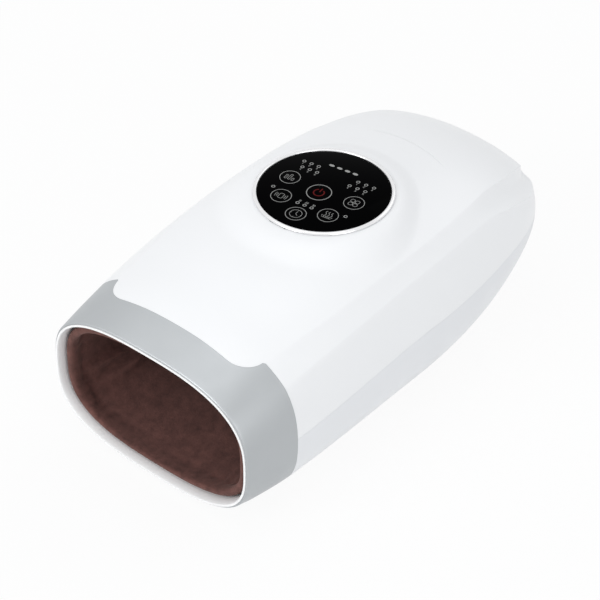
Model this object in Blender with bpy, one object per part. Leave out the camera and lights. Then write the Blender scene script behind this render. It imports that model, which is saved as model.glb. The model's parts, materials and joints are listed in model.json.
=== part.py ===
"""Hand massager: two housing shells, a silver collar and a pale rim round a lined hand pocket, with the
air cells that squeeze the hand, the heater that warms it, and the pump, valves, battery and vibration
motors that drive them. Metres, Z up, the hand goes in from -Y, and the feet stand on Z = 0."""

import math

import bmesh
import bpy
import numpy as np
from mathutils import Matrix, Vector

# Whole body
body_length = 0.300
body_width = 0.160
base_height = 0.0025
crown_place_share = 0.048
widest_place_share = -0.019
widest_height = 0.0600
tail_height = 0.0605
lift_start_share = 0.185
corner_drop = 0.004
front_blend = 0.040
base_blend = 0.012
side_blend = 0.120
rear_blend = 0.130
wall = 0.0025
gap = 0.0003
overrun = 0.004
weld_distance = 0.000001
side_lead_power = 3.0
crown_lead_power = 2.2
side_power = 3.10
crown_fall_power = 2.15
lift_power = 2.0
mouth_top_power = 2.75
mouth_base_power = 2.90
middle_top_power = 2.75
middle_base_power = 2.90
tail_top_power = 2.80
tail_base_power = 1.70

# Hand opening, its rim and the collar round it
opening_side_room = 0.010
opening_height = 0.084
opening_centre_height = 0.0493
rim_width = 0.0033
rim_depth = 0.005
rim_sleeve_depth = 0.012
rim_sleeve_wall = 0.0013
rim_funnel_depth = 0.0034
rim_crest = 0.0012
rim_shoulder = 0.0006
collar_wall = 0.0023
collar_lip = 0.0010
collar_setback = 0.0006
collar_seam_depth = 0.038
collar_flank_depth = 0.037
collar_shoulder_depth = 0.0362
collar_ear_depth = 0.0351
collar_valley_depth = 0.0224
collar_middle_depth = 0.0234
ear_share = 0.033
valley_share = 0.36
ear_hook_power = 2.0

# Creases along each flank, the scooped facet between them, and the seam of the two shells
upper_crease_share = 0.785
upper_crease_narrowing_share = 0.09
upper_crease_place_share = -0.046
upper_crease_length_share = 0.397
lower_crease_share = 0.902
lower_crease_narrowing_share = 0.035
lower_crease_place_share = -0.162
lower_crease_length_share = 0.497
facet_lead_in = 0.025
facet_fade_room = 0.040
facet_end_room = 0.004
scoop_depth = 0.004
scoop_start_share = 0.103
scoop_full_share = 0.301
seam_rise_share = 0.10
seam_rise_start_share = 0.036
seam_rise_end_share = 0.334

# Round touch panel, its trim ring and the swell of the housing that carries it
panel_radius = 0.0385
panel_place_share = -0.0005
panel_thickness = 0.0015
panel_sink = 0.0005
plateau_height = 0.11935
swell_rise = 0.00215
swell_reach_rear = 0.070
swell_reach_front = 0.105
swell_turn_start_share = -1.0
swell_turn_end_share = 0.0
swell_low_share = 0.50
swell_high_share = 0.85
ring_flange = 0.0026
ring_rise = 0.0012
ring_sleeve_wall = 0.0016
ring_depth = 0.0100
ledge_width = 0.0040
ledge_thickness = 0.0025
board_thickness = 0.0016
panel_screw_count = 3
panel_screw_radius = 0.0009
panel_screw_length = 0.0036
panel_screw_head = 0.0010

# Hand pocket: the inner housing, its lining, the air cells and the heater
pocket_end_room = 0.090
pocket_wall = 0.002
pocket_tuck = 0.0006
pocket_side_room = 0.022
pocket_roof_room = 0.03135
pocket_floor_height = 0.016
pocket_taper_length = 0.120
pocket_rounding = 0.035
pocket_round_power = 2.6
lining_thickness = 0.003
lining_hem_share = 0.6
lining_dip_start = 0.010
lining_dip_end = 0.065
cell_thickness = 0.009
cell_setback = 0.052
cell_end_room = 0.030
cell_edge_share = 0.6
cell_crown_power = 4.0
heater_thickness = 0.0008
spigot_place = 0.026
spigot_radius = 0.0022
spigot_reach = 0.005

# Fasteners of the housing
screw_radius = 0.0015
screw_head_radius = 0.0029
screw_head_height = 0.0016
screw_boss_wall = 0.0018
pocket_screw_side = 0.036
pocket_screw_setback = 0.090
pocket_screw_end_room = 0.038
pocket_screw_length = 0.009
pocket_seat_height = 0.0075
long_screw_side = 0.046
long_screw_room = 0.052
long_screw_seat_height = 0.036
long_screw_length = 0.030
long_boss_height = 0.056
long_boss_engagement = 0.014

# Feet
foot_radius = 0.008
foot_side = 0.033
foot_front_room = 0.050
foot_rear_room = 0.105
foot_recess = 0.001
foot_edge = 0.0008

# Mechanism tray behind the pocket
tray_height = 0.030
tray_thickness = 0.0025
tray_front_gap = 0.0045
tray_shoulder_room = 0.070
tray_rear_room = 0.0275
tray_side_room = 0.022
tray_rear_width = 0.060
tray_corner = 0.003
notch_clearance = 0.0005
tray_post_front_setback = 0.004
tray_post_side_setback = 0.006
tray_post_rear_setback = 0.0045
tray_post_rear_side = 0.022
tray_screw_length = 0.007

# Air pump with its motor and crank
pump_size = 0.027
pump_head_length = 0.016
pump_head_end = 0.004
pump_setback = 0.0195
pump_edge = 0.002
pump_pocket_radius = 0.0095
pump_pocket_depth = 0.0095
pump_motor_radius = 0.012
pump_motor_length = 0.031
pump_motor_recess = 0.010
shaft_radius = 0.001
shaft_clearance = 0.00008
crank_radius = 0.0070
crank_thickness = 0.003
crank_standoff = 0.0015
crank_offset = 0.0035
crank_pin_radius = 0.0012
crank_pin_length = 0.003
cradle_thickness = 0.004
nozzle_radius = 0.0022
nozzle_length = 0.005
nozzle_stub = 0.004

# Manifold and its two release valves
manifold_width = 0.014
manifold_depth = 0.012
manifold_height = 0.030
valve_length = 0.020
valve_size = 0.0138
plunger_radius = 0.0025
plunger_bore_depth = 0.014
plunger_length = 0.0145
plunger_travel = 0.002
plunger_clearance = 0.0001
hose_radius = 0.0035
hose_bore = 0.0025
hose_overlap = 0.004

# Battery cells in their cradle
battery_radius = 0.0091
battery_length = 0.065
battery_setback = 0.024
battery_cap_radius = 0.0035
battery_cap_height = 0.001
cradle_wall = 0.0016
cradle_end_gap = 0.0006

# Control board on the pocket's roof
control_board_width = 0.076
control_board_depth = 0.052
control_board_corner = 0.003
board_post_side = 0.032
board_post_reach = 0.020
board_post_height = 0.0040
board_screw_length = 0.0042

# Vibration motors on the pocket's roof
shaker_setback = 0.0655
shaker_side = 0.023
shaker_radius = 0.009
shaker_length = 0.025
shaker_pad_height = 0.0004
shaker_recess = 0.010
shaker_weight_radius = 0.0070
shaker_weight_thickness = 0.006
shaker_weight_gap = 0.0010
strap_thickness = 0.0012
strap_width = 0.008
strap_foot = 0.007

# Charging socket in the tail
socket_height = 0.046
socket_radius = 0.0052
socket_flange_radius = 0.0068
socket_flange_thickness = 0.0015
socket_length = 0.014
socket_sink = 0.0012
socket_bore_radius = 0.0029
socket_bore_depth = 0.009
socket_pin_radius = 0.0009

# Grids and facets
flank_steps = 4
facet_steps = 4
top_shares = (0.0, 0.033, 0.040, 0.055, 0.08, 0.12, 0.17, 0.25, 0.36, 0.51, 0.67, 0.84)
upper_rows = 19
lower_columns = 22
lower_rows = 16
row_crowding_power = 1.7
pocket_columns = 28
cell_steps = 4
heater_steps = 3
cell_rows = 7
front_rows = 3
end_rows = 5
round_facets = 20
small_facets = 10
panel_facets = 40
screw_facets = 6
hose_facets = 8
hose_steps = 7

tail = body_length / 2
mouth = -body_length / 2
crown_height = plateau_height - swell_rise
crown_place = body_length * crown_place_share
widest_place = body_length * widest_place_share
lift_start = body_length * lift_start_share
upper_crease_place = body_length * upper_crease_place_share
upper_crease_length = body_length * upper_crease_length_share
lower_crease_place = body_length * lower_crease_place_share
lower_crease_length = body_length * lower_crease_length_share
facet_fade_start = tail - facet_fade_room
facet_fade_end = tail - facet_end_room
scoop_start = body_length * scoop_start_share
scoop_full = body_length * scoop_full_share
seam_rise_start = body_length * seam_rise_start_share
seam_rise_end = body_length * seam_rise_end_share
panel_place = body_length * panel_place_share
shaker_place = panel_place - shaker_setback
pocket_end = tail - pocket_end_room
pocket_taper_end = mouth + pocket_taper_length
pocket_rear_width = body_width - 2 * pocket_side_room
pocket_rear_height = plateau_height - pocket_roof_room - pocket_floor_height
pocket_rear_centre_height = pocket_floor_height + pocket_rear_height / 2
cell_front = mouth + cell_setback
cell_rear = pocket_end - cell_end_room
pocket_screw_front = mouth + pocket_screw_setback
pocket_screw_rear = pocket_end - pocket_screw_end_room
long_screw_place = tail - long_screw_room
foot_front = mouth + foot_front_room
foot_rear = tail - foot_rear_room
tray_front = pocket_end + tray_front_gap
tray_shoulder = tail - tray_shoulder_room
tray_rear = tail - tray_rear_room
tray_front_width = body_width - 2 * tray_side_room
tray_post_front = tray_front + tray_post_front_setback
tray_post_front_side = tray_front_width / 2 - tray_post_side_setback
tray_post_rear = tray_rear - tray_post_rear_setback
pump_place = pocket_end + pump_setback
battery_place = pump_place + battery_setback
opening_half_width = body_width / 2 - opening_side_room
opening_half_height = opening_height / 2
mouth_half_width = opening_half_width + rim_width
mouth_top = opening_centre_height + opening_half_height + rim_width
mouth_base = opening_centre_height - opening_half_height - rim_width
panel_centre = Vector((0, panel_place, 0))
quarter = math.pi / 2


def clear_scene():
    for old in list(bpy.data.objects):
        bpy.data.objects.remove(old)


def ease(share):
    share = np.clip(share, 0, 1)
    return share * share * (3 - 2 * share)


def mix(start, end, share):
    return start + (end - start) * share


def between(value, start, end):
    return (value - start) / (end - start)


# Surface of the body: every shell, lining and boss is worked out from it


def tail_share(y, start, inset, power):
    """What is left of a reach at y, from 1 at start down to 0 at the tail, inset from the skin."""
    travelled = np.clip(between(y, start, tail - inset), 0, 1)
    return np.maximum(1 - travelled**power, 0) ** (1 / power)


def lead_share(y, start, power):
    """0 from start rearward, rising to 1 at the mouth."""
    return np.clip(between(y, start, mouth), 0, None) ** power


def middle_height(y):
    """Height of the widest line of the section at y."""
    front = mix(opening_centre_height, widest_height, ease(between(y, mouth, 0)))
    return front + (tail_height - widest_height) * ease(y / tail)


def base_line(y):
    return mix(mouth_base, base_height, ease(between(y, mouth, mouth + base_blend)))


def side_reach(y, inset):
    width = mix(body_width / 2, mouth_half_width, lead_share(y, widest_place, side_lead_power))
    return (width - inset) * tail_share(y, widest_place, inset, side_power)


def top_reach(y, inset):
    top = mix(crown_height, mouth_top, lead_share(y, crown_place, crown_lead_power))
    return (top - middle_height(y) - inset) * tail_share(y, crown_place, inset, crown_fall_power)


def base_reach(y, inset):
    drop = corner_drop * ease(between(y, mouth, mouth + front_blend))
    depth = middle_height(y) - base_line(y) + drop - inset
    return depth * tail_share(y, lift_start, inset, lift_power)


def section_powers(y):
    front = ease(between(y, mouth, mouth + side_blend))
    rear = ease(y / rear_blend)
    top = mix(mouth_top_power, middle_top_power, front) + (tail_top_power - middle_top_power) * rear
    base = mix(mouth_base_power, middle_base_power, front) + (tail_base_power - middle_base_power) * rear
    return top, base


def section_point(y, angle, inset):
    """X and Z on the section at y. Angle 0 is the right side's widest line and a quarter turn the crown."""
    top_power, base_power = section_powers(y)
    across = np.cos(angle)
    up = np.sin(angle)
    power = np.where(up >= 0, top_power, base_power)
    x = side_reach(y, inset) * np.sign(across) * np.abs(across) ** (2 / power)
    reach = np.where(up >= 0, top_reach(y, inset), -base_reach(y, inset))
    z = middle_height(y) + reach * np.abs(up) ** (2 / power)
    floor = np.minimum(base_line(y) + inset, middle_height(y))
    return x, np.where(up < 0, np.maximum(z, floor), z)


def crease_angles(y):
    """Angles of the upper and the lower crease of the flank at y."""
    top_power, _ = section_powers(y)
    upper_bow = between(y, upper_crease_place, upper_crease_place + upper_crease_length) ** 2
    lower_bow = between(y, lower_crease_place, lower_crease_place + lower_crease_length) ** 2
    upper = upper_crease_share - upper_crease_narrowing_share * upper_bow
    lower = lower_crease_share - lower_crease_narrowing_share * lower_bow
    return np.arccos(upper ** (top_power / 2)), np.arccos(lower ** (top_power / 2))


def seam_angle(y):
    """The seam runs along the widest line and climbs a little behind the middle."""
    top_power, _ = section_powers(y)
    rise = seam_rise_share * ease(between(y, seam_rise_start, seam_rise_end))
    return np.arcsin(rise ** (top_power / 2))


def swelled(x, y, z, inset):
    """The top rises into a flat plateau for the panel and falls away round it."""
    off_x = x
    off_y = y - panel_place
    distance = np.hypot(off_x, off_y)
    turn = off_y / np.maximum(distance, weld_distance)
    rearward = ease(between(turn, swell_turn_start_share, swell_turn_end_share))
    foot = mix(swell_reach_front, swell_reach_rear, rearward)
    flat = panel_radius + ring_flange + wall
    share = 1 - ease(between(distance, flat, foot))
    middle = middle_height(y)
    rise_share = (z - middle) / (top_reach(y, inset) + weld_distance)
    share = share * ease(between(rise_share, swell_low_share, swell_high_share))
    return mix(z, plateau_height - inset, share)


def upper_point(y, angle, inset):
    """A point of the upper half of the skin, with the creased facet along each flank."""
    x, z = section_point(y, angle, inset)
    upper_crease, lower_crease = crease_angles(y)
    flank_angle = np.minimum(angle, math.pi - angle)
    side = np.where(angle > quarter, -1, 1)
    x_high, z_high = section_point(y, upper_crease, inset)
    x_low, z_low = section_point(y, lower_crease, inset)
    along = np.clip(between(flank_angle, lower_crease, upper_crease), 0, 1)
    chord = np.hypot(x_low - x_high, z_high - z_low) + weld_distance
    hollow_in = ease(between(y, scoop_start, scoop_full))
    fade = 1 - ease(between(y, facet_fade_start, facet_fade_end))
    hollow = scoop_depth * hollow_in * fade * np.sin(math.pi * along)
    facet_x = mix(x_low, x_high, along) - hollow * (z_high - z_low) / chord
    facet_z = mix(z_low, z_high, along) - hollow * (x_low - x_high) / chord
    facet_start = mouth + collar_flank_depth
    lead_in = ease(between(y, facet_start, facet_start + facet_lead_in))
    share = np.where((flank_angle > lower_crease) & (flank_angle < upper_crease), lead_in * fade, 0)
    x = mix(x, side * facet_x, share)
    z = mix(z, facet_z, share)
    return np.stack([x, y + 0 * x, swelled(x, y, z, inset)], axis=-1)


def lower_point(y, angle, inset):
    x, z = section_point(y, angle, inset)
    return np.stack([x, y + 0 * x, z], axis=-1)


def collar_edge(top_share):
    """Y of the collar's rear edge over the top: the ear, its hooked side and the bow between the ears."""
    ear = mouth + collar_ear_depth
    valley = mouth + collar_valley_depth
    middle = mouth + collar_middle_depth
    inward = np.clip(between(top_share, valley_share, ear_share), 0, 1)
    hook = mix(valley, ear, 1 - (1 - inward**ear_hook_power) ** (1 / ear_hook_power))
    bow = mix(valley, middle, ease(between(top_share, valley_share, 1)))
    side = mouth + collar_shoulder_depth
    shoulder = mix(side, ear, np.clip(between(top_share, 0, ear_share), 0, 1))
    return np.where(top_share > valley_share, bow, np.where(top_share > ear_share, hook, shoulder))


def crowded_rows(front, rear, count):
    """Y of each row of a grid, closer together toward the rear."""
    shares = 1 - (1 - np.linspace(0, 1, count)) ** row_crowding_power
    return mix(front, rear, shares)


# Mesh builders


def material(name, colour, roughness, metallic=0.0, coat=0.0):
    made = bpy.data.materials.new(name)
    made.use_nodes = True
    shader = made.node_tree.nodes["Principled BSDF"]
    shader.inputs["Base Color"].default_value = (*colour, 1)
    shader.inputs["Roughness"].default_value = roughness
    shader.inputs["Metallic"].default_value = metallic
    shader.inputs["Coat Weight"].default_value = coat
    made.diffuse_color = (*colour, 1)
    return made


def finish_mesh(name, mesh, look, sharp=math.radians(32)):
    mesh.shade_smooth()
    mesh.set_sharp_from_angle(angle=sharp)
    mesh.materials.append(look)
    made = bpy.data.objects.new(name, mesh)
    bpy.context.scene.collection.objects.link(made)
    return made


def mesh_object(name, points, faces, look):
    """One object from points and faces, welded where points meet and turned outward."""
    form = bmesh.new()
    corners = [form.verts.new(point) for point in points]
    for face in faces:
        form.faces.new([corners[index] for index in face])
    bmesh.ops.remove_doubles(form, verts=form.verts, dist=weld_distance)
    bmesh.ops.dissolve_degenerate(form, edges=form.edges, dist=weld_distance)
    bmesh.ops.recalc_face_normals(form, faces=form.faces)
    mesh = bpy.data.meshes.new(name)
    form.to_mesh(mesh)
    form.free()
    return finish_mesh(name, mesh, look)


def grid_faces(rows, columns, first, wrap_rows, wrap_columns):
    faces = []
    for row in range(rows if wrap_rows else rows - 1):
        next_row = (row + 1) % rows
        for column in range(columns if wrap_columns else columns - 1):
            next_column = (column + 1) % columns
            faces.append(
                (
                    first + row * columns + column,
                    first + row * columns + next_column,
                    first + next_row * columns + next_column,
                    first + next_row * columns + column,
                )
            )
    return faces


def between_sheets(name, outer, inner, look, wrap=False):
    """The solid between two grids of points, rows by columns. A row drawn to one point closes that end."""
    rows, columns, _ = outer.shape
    points = np.concatenate([outer.reshape(-1, 3), inner.reshape(-1, 3)])
    lower = rows * columns
    faces = grid_faces(rows, columns, 0, False, wrap) + grid_faces(rows, columns, lower, False, wrap)
    for row in (0, rows - 1):
        if np.ptp(outer[row], axis=0).max() < weld_distance:
            continue
        for column in range(columns if wrap else columns - 1):
            start = row * columns + column
            end = row * columns + (column + 1) % columns
            faces.append((start, end, lower + end, lower + start))
    if not wrap:
        for column in (0, columns - 1):
            for row in range(rows - 1):
                start = row * columns + column
                end = start + columns
                faces.append((start, end, lower + end, lower + start))
    return mesh_object(name, points, faces, look)


def ring_of_loops(name, loops, look):
    """The solid of a closed profile carried round a closed path: each loop is one profile point's path."""
    rows, columns, _ = loops.shape
    return mesh_object(name, loops.reshape(-1, 3), grid_faces(rows, columns, 0, True, True), look)


def lathe_points(profile, facets, start_angle=0.0):
    """Loops of a turned profile of (radius, height) about Z."""
    angles = start_angle + np.linspace(0, 2 * math.pi, facets, endpoint=False)
    loops = [
        np.stack([radius * np.cos(angles), radius * np.sin(angles), height + 0 * angles], axis=-1)
        for radius, height in profile
    ]
    return np.array(loops)


def turned(name, profile, look, facets=round_facets):
    """A turned solid about Z. A profile that starts and ends on the axis has flat caps there."""
    closed = profile[0][0] > 0
    loops = lathe_points(profile if closed else profile[1:-1], facets)
    rows, columns, _ = loops.shape
    faces = grid_faces(rows, columns, 0, closed, True)
    if not closed:
        faces += [tuple(range(columns)), tuple(range((rows - 1) * columns, rows * columns))]
    return mesh_object(name, loops.reshape(-1, 3), faces, look)


def rod_profile(radius, length):
    return [(0, 0), (radius, 0), (radius, length), (0, length)]


def prism(name, outline, low, high, look):
    """An upright solid with the given outline of (x, y), from low to high."""
    count = len(outline)
    points = [(x, y, low) for x, y in outline] + [(x, y, high) for x, y in outline]
    faces = [tuple(range(count)), tuple(range(count, 2 * count))]
    for index in range(count):
        following = (index + 1) % count
        faces.append((index, following, count + following, count + index))
    return mesh_object(name, points, faces, look)


def rounded_outline(corners, radius, steps=3):
    """A convex outline with each corner rounded to the radius."""
    outline = []
    count = len(corners)
    for index in range(count):
        corner = Vector(corners[index])
        back = (Vector(corners[index - 1]) - corner).normalized()
        ahead = (Vector(corners[(index + 1) % count]) - corner).normalized()
        half = back.angle(ahead) / 2
        reach = radius / math.tan(half)
        centre = corner + (back + ahead).normalized() * radius / math.sin(half)
        start = corner + back * reach - centre
        end = corner + ahead * reach - centre
        for step in range(steps + 1):
            turn = start.lerp(end, step / steps).normalized() * radius
            outline.append(tuple(centre + turn))
    return outline


def box_outline(x_low, x_high, y_low, y_high):
    return [(x_low, y_low), (x_high, y_low), (x_high, y_high), (x_low, y_high)]


def place(made, location, axis="Z"):
    """Stand a turned piece at a location, its axis turned from Z to X or Y."""
    turn = {"Z": Matrix.Identity(4), "X": Matrix.Rotation(quarter, 4, "Y")}
    turn["Y"] = Matrix.Rotation(-quarter, 4, "X")
    made.matrix_world = Matrix.Translation(location) @ turn[axis]
    return made


def helper(made):
    made.hide_render = True
    made.display_type = "WIRE"
    return made


def boolean(target, tool, operation):
    change = target.modifiers.new(operation.lower(), "BOOLEAN")
    change.operation = operation
    change.object = helper(tool)
    change.solver = "EXACT"


def cut(target, tool):
    boolean(target, tool, "DIFFERENCE")


def join(target, tool):
    boolean(target, tool, "UNION")


def upright_cutter(name, radius, x, y, low, high, facets=small_facets):
    made = turned(name, rod_profile(radius, high - low), cutter_look, facets)
    return place(made, Vector((x, y, low)))


def boss(name, centre, radius, bore, level, seat_height, look, facets=small_facets):
    """A tube from the given level to a surface whose height at (x, y) seat_height gives."""
    angles = np.linspace(0, 2 * math.pi, facets, endpoint=False)
    flat = []
    seated = []
    for reach in (bore, radius):
        x = centre[0] + reach * np.cos(angles)
        y = centre[1] + reach * np.sin(angles)
        flat.append(np.stack([x, y, level + 0 * x], axis=-1))
        seated.append(np.stack([x, y, seat_height(x, y)], axis=-1))
    return between_sheets(name, np.array(flat), np.array(seated), look, wrap=True)


def skin_height(x, y, inset, upward):
    """Height of the skin above or below the point (x, y), at the given inset."""
    top_power, base_power = section_powers(y)
    share = np.clip(np.abs(x) / side_reach(y, inset), 0, 1)
    if upward:
        rise = top_reach(y, inset) * (1 - share**top_power) ** (1 / top_power)
        return swelled(x, y, middle_height(y) + rise, inset)
    fall = base_reach(y, inset) * (1 - share**base_power) ** (1 / base_power)
    return np.maximum(middle_height(y) - fall, base_line(y) + inset)


# Pocket surfaces


def pocket_share(y):
    return ease(between(y, mouth + rim_sleeve_depth, pocket_taper_end))


def pocket_centre(y):
    return mix(opening_centre_height, pocket_rear_centre_height, pocket_share(y))


def pocket_reach(y, inset):
    """Half width and half height of the pocket housing's outer face, inset from it."""
    growth = pocket_wall - pocket_tuck
    width = mix(opening_half_width + growth, pocket_rear_width / 2, pocket_share(y))
    height = mix(opening_half_height + growth, pocket_rear_height / 2, pocket_share(y))
    start = pocket_end - pocket_rounding
    travelled = np.clip(between(y, start, pocket_end - inset), 0, 1)
    end = np.maximum(1 - travelled**pocket_round_power, 0) ** (1 / pocket_round_power)
    return (width - inset) * end, (height - inset) * end


def oval_point(y, angle, half_width, half_height, centre):
    across = np.cos(angle)
    up = np.sin(angle)
    power = np.where(up >= 0, mouth_top_power, mouth_base_power)
    x = half_width * np.sign(across) * np.abs(across) ** (2 / power)
    z = centre + half_height * np.sign(up) * np.abs(up) ** (2 / power)
    return np.stack([x, y + 0 * x, z], axis=-1)


def pocket_point(y, angle, inset):
    half_width, half_height = pocket_reach(y, inset)
    return oval_point(y, angle, half_width, half_height, pocket_centre(y))


def pocket_height(x, y, inset, upward):
    half_width, half_height = pocket_reach(y, inset)
    share = np.clip(np.abs(x) / half_width, 0, 1)
    power = mouth_top_power if upward else mouth_base_power
    rise = half_height * (1 - share**power) ** (1 / power)
    return pocket_centre(y) + rise if upward else pocket_centre(y) - rise


# Lining, air cells and heater

lining_front = mouth + rim_funnel_depth + gap
upper_room = cell_thickness + gap
lower_room = cell_thickness + heater_thickness + 2 * gap
cell_row_places = np.linspace(cell_front, cell_rear, cell_rows)


def lining_point(y, angle, inset):
    """The lining's outer face, which leaves room for the air cells and the heater behind the mouth."""
    clear = pocket_wall + gap + inset
    half_width, half_height = pocket_reach(y, clear)
    straight_height = pocket_reach(np.minimum(y, pocket_end - pocket_rounding), clear)[1]
    room = ease(between(y, mouth + lining_dip_start, mouth + lining_dip_end))
    room = room * half_height / straight_height
    half_height = half_height - room * (upper_room + lower_room) / 2
    centre = pocket_centre(y) + room * (lower_room - upper_room) / 2
    return oval_point(y, angle, half_width, half_height, centre)


def round_grid(point_at, rows, columns, insets):
    """A cup's grid of points, with one inset for all its rows or one for each, closed to a point behind."""
    angles = np.linspace(0, 2 * math.pi, columns, endpoint=False)
    spread_y, spread_angle = np.meshgrid(rows, angles, indexing="ij")
    grid = point_at(spread_y, spread_angle, np.reshape(insets, (-1, 1)))
    grid[-1] = grid[-1].mean(axis=0)
    return grid


def patch_grid(point_at, middle_angle, steps, inset):
    """A patch of the same grid, the given number of columns to each side of its middle."""
    angles = middle_angle + np.arange(-steps, steps + 1) * 2 * math.pi / pocket_columns
    spread_y, spread_angle = np.meshgrid(cell_row_places, angles, indexing="ij")
    return point_at(spread_y, spread_angle, inset)


def cup_rows(front, end):
    """Rows of a cup: a few to the cells, the cells' own rows, and close ones round the rear end."""
    start = np.linspace(front, cell_front, front_rows)[:-1]
    finish = crowded_rows(cell_rear, end, end_rows)[1:]
    return np.concatenate([start, cell_row_places, finish])


def make_hand_lining():
    """A padded cup with a rounded hem at the mouth."""
    outer_end = pocket_end - pocket_wall - gap
    hem = lining_thickness / 2
    outer_rows = np.append(lining_front, cup_rows(lining_front + hem, outer_end))
    inner_rows = np.append(lining_front, cup_rows(lining_front + hem, outer_end - lining_thickness))
    outer_insets = np.append(hem * lining_hem_share, np.zeros(len(outer_rows) - 1))
    outer = round_grid(lining_point, outer_rows, pocket_columns, outer_insets)
    inner = round_grid(lining_point, inner_rows, pocket_columns, lining_thickness - outer_insets)
    between_sheets("hand_lining", outer, inner, fabric_look, wrap=True)


def cell_middle(upward):
    """Height of the middle of an air cell at its rear edge, where the spigot leaves it."""
    wall_height = float(pocket_height(spigot_place, cell_rear, pocket_wall, upward))
    middle = gap + cell_thickness / 2
    return wall_height - middle if upward else wall_height + middle


def make_air_cell(name, upward):
    """A pillow, full in its middle and thin along its edges."""
    middle_angle = quarter if upward else -quarter
    clearance = gap if upward else heater_thickness + 2 * gap
    outer = patch_grid(pocket_point, middle_angle, cell_steps, pocket_wall + gap)
    inner = patch_grid(lining_point, middle_angle, cell_steps, -clearance)
    along = np.abs(np.linspace(-1, 1, cell_rows))[:, None, None]
    across = np.abs(np.linspace(-1, 1, 2 * cell_steps + 1))[None, :, None]
    fill = 1 - cell_edge_share * np.maximum(along, across) ** cell_crown_power
    cell = between_sheets(name, outer, mix(outer, inner, fill), cell_look)
    start = cell_rear - cell_thickness
    spigot = turned(name + "_spigot", rod_profile(spigot_radius, spigot_end - start), cell_look, small_facets)
    join(cell, place(spigot, Vector((spigot_place, start, cell_middle(upward))), "Y"))


def make_heating_pad():
    outer = patch_grid(lining_point, -quarter, heater_steps, -gap - heater_thickness)
    inner = patch_grid(lining_point, -quarter, heater_steps, -gap)
    between_sheets("heating_pad", outer, inner, heater_look)


# Pocket housing with its bosses, board posts and motor pads

pocket_front = mouth + rim_sleeve_depth + gap
spigot_end = pocket_end + spigot_reach
screw_bore = screw_radius + gap
screw_boss_radius = screw_bore + screw_boss_wall
shaker_pad_reach = shaker_radius + strap_thickness + gap + strap_foot


def highest_roof(middle, reach):
    """The pocket's greatest height along its middle line, up to the given reach from a place."""
    return float(pocket_height(0, np.linspace(middle - reach, middle + reach, 9), 0, True).max())


board_level = highest_roof(panel_place, board_post_reach) + board_post_height
shaker_level = highest_roof(shaker_place, shaker_pad_reach) + shaker_pad_height
pocket_screw_places = [
    (side * pocket_screw_side, place_y) for side in (-1, 1) for place_y in (pocket_screw_front, pocket_screw_rear)
]
board_post_places = [
    (side * board_post_side, panel_place + way * board_post_reach) for side in (-1, 1) for way in (-1, 1)
]


def pocket_mid_wall(x, y, upward):
    return pocket_height(x, y, pocket_wall / 2, upward)


def make_motor_pad(name, side):
    """A flat seat on the curved roof of the pocket."""
    half_length = shaker_length / 2
    x = np.linspace(side * shaker_side - half_length, side * shaker_side + half_length, 5)
    y = np.linspace(shaker_place - shaker_pad_reach, shaker_place + shaker_pad_reach, 4)
    spread_y, spread_x = np.meshgrid(y, x, indexing="ij")
    flat = np.stack([spread_x, spread_y, shaker_level + 0 * spread_x], axis=-1)
    seated = np.stack([spread_x, spread_y, pocket_mid_wall(spread_x, spread_y, True)], axis=-1)
    return between_sheets(name, flat, seated, frame_look)


def make_pocket_housing():
    outer_rows = cup_rows(pocket_front, pocket_end)
    inner_rows = cup_rows(pocket_front, pocket_end - pocket_wall)
    outer = round_grid(pocket_point, outer_rows, pocket_columns, 0)
    inner = round_grid(pocket_point, inner_rows, pocket_columns, pocket_wall)
    housing = between_sheets("pocket_housing", outer, inner, frame_look, wrap=True)
    for index, centre in enumerate(pocket_screw_places):
        name = f"pocket_boss_{index}"
        seat = lambda x, y: pocket_mid_wall(x, y, False)
        join(housing, boss(name, centre, screw_boss_radius, screw_bore, pocket_seat_height + gap, seat, frame_look))
    for index, centre in enumerate(board_post_places):
        name = f"board_post_{index}"
        seat = lambda x, y: pocket_mid_wall(x, y, True)
        join(housing, boss(name, centre, screw_boss_radius, screw_bore, board_level - gap, seat, frame_look))
    for side in (-1, 1):
        join(housing, make_motor_pad(f"motor_pad_{side}", side))
    for upward in (False, True):
        hole = turned(f"spigot_hole_{upward}", rod_profile(spigot_radius + gap, spigot_end), cutter_look, small_facets)
        cut(housing, place(hole, Vector((spigot_place, cell_rear, cell_middle(upward))), "Y"))


# Housing shells, collar and rim


def column_plan():
    """Each column of the right half of the top: its kind, its share and where the collar ends on it."""
    plan = []
    for step in range(flank_steps):
        share = step / flank_steps
        plan.append(("flank", share, mouth + mix(collar_seam_depth, collar_flank_depth, share)))
    for step in range(facet_steps):
        share = step / facet_steps
        plan.append(("facet", share, mouth + mix(collar_flank_depth, collar_shoulder_depth, share)))
    plan += [("top", share, float(collar_edge(share))) for share in top_shares]
    return plan


def column_angle(kind, share, y):
    upper_crease, lower_crease = crease_angles(y)
    if kind == "flank":
        return mix(seam_angle(y), lower_crease, share)
    if kind == "facet":
        return mix(lower_crease, upper_crease, share)
    return mix(upper_crease, quarter, share)


def top_loop(rows_for, inset):
    """Columns of points over the top, right to left, with rows_for giving each column's Y values."""
    right = []
    left = []
    for kind, share, edge in column_plan():
        y = rows_for(edge)
        angle = column_angle(kind, share, y)
        right.append(upper_point(y, angle, inset))
        left.append(upper_point(y, math.pi - angle, inset))
    y = rows_for(float(collar_edge(1)))
    crown = upper_point(y, quarter + 0 * y, inset)
    return right + [crown] + left[::-1]


def bottom_loop(rows_for, inset):
    """Columns of points round the bottom, from the left seam to the right one."""
    y = rows_for(mouth + collar_seam_depth)
    start = seam_angle(y)
    shares = np.linspace(0, 1, lower_columns + 1)
    return [lower_point(y, mix(math.pi - start, 2 * math.pi + start, share), inset) for share in shares]


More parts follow.
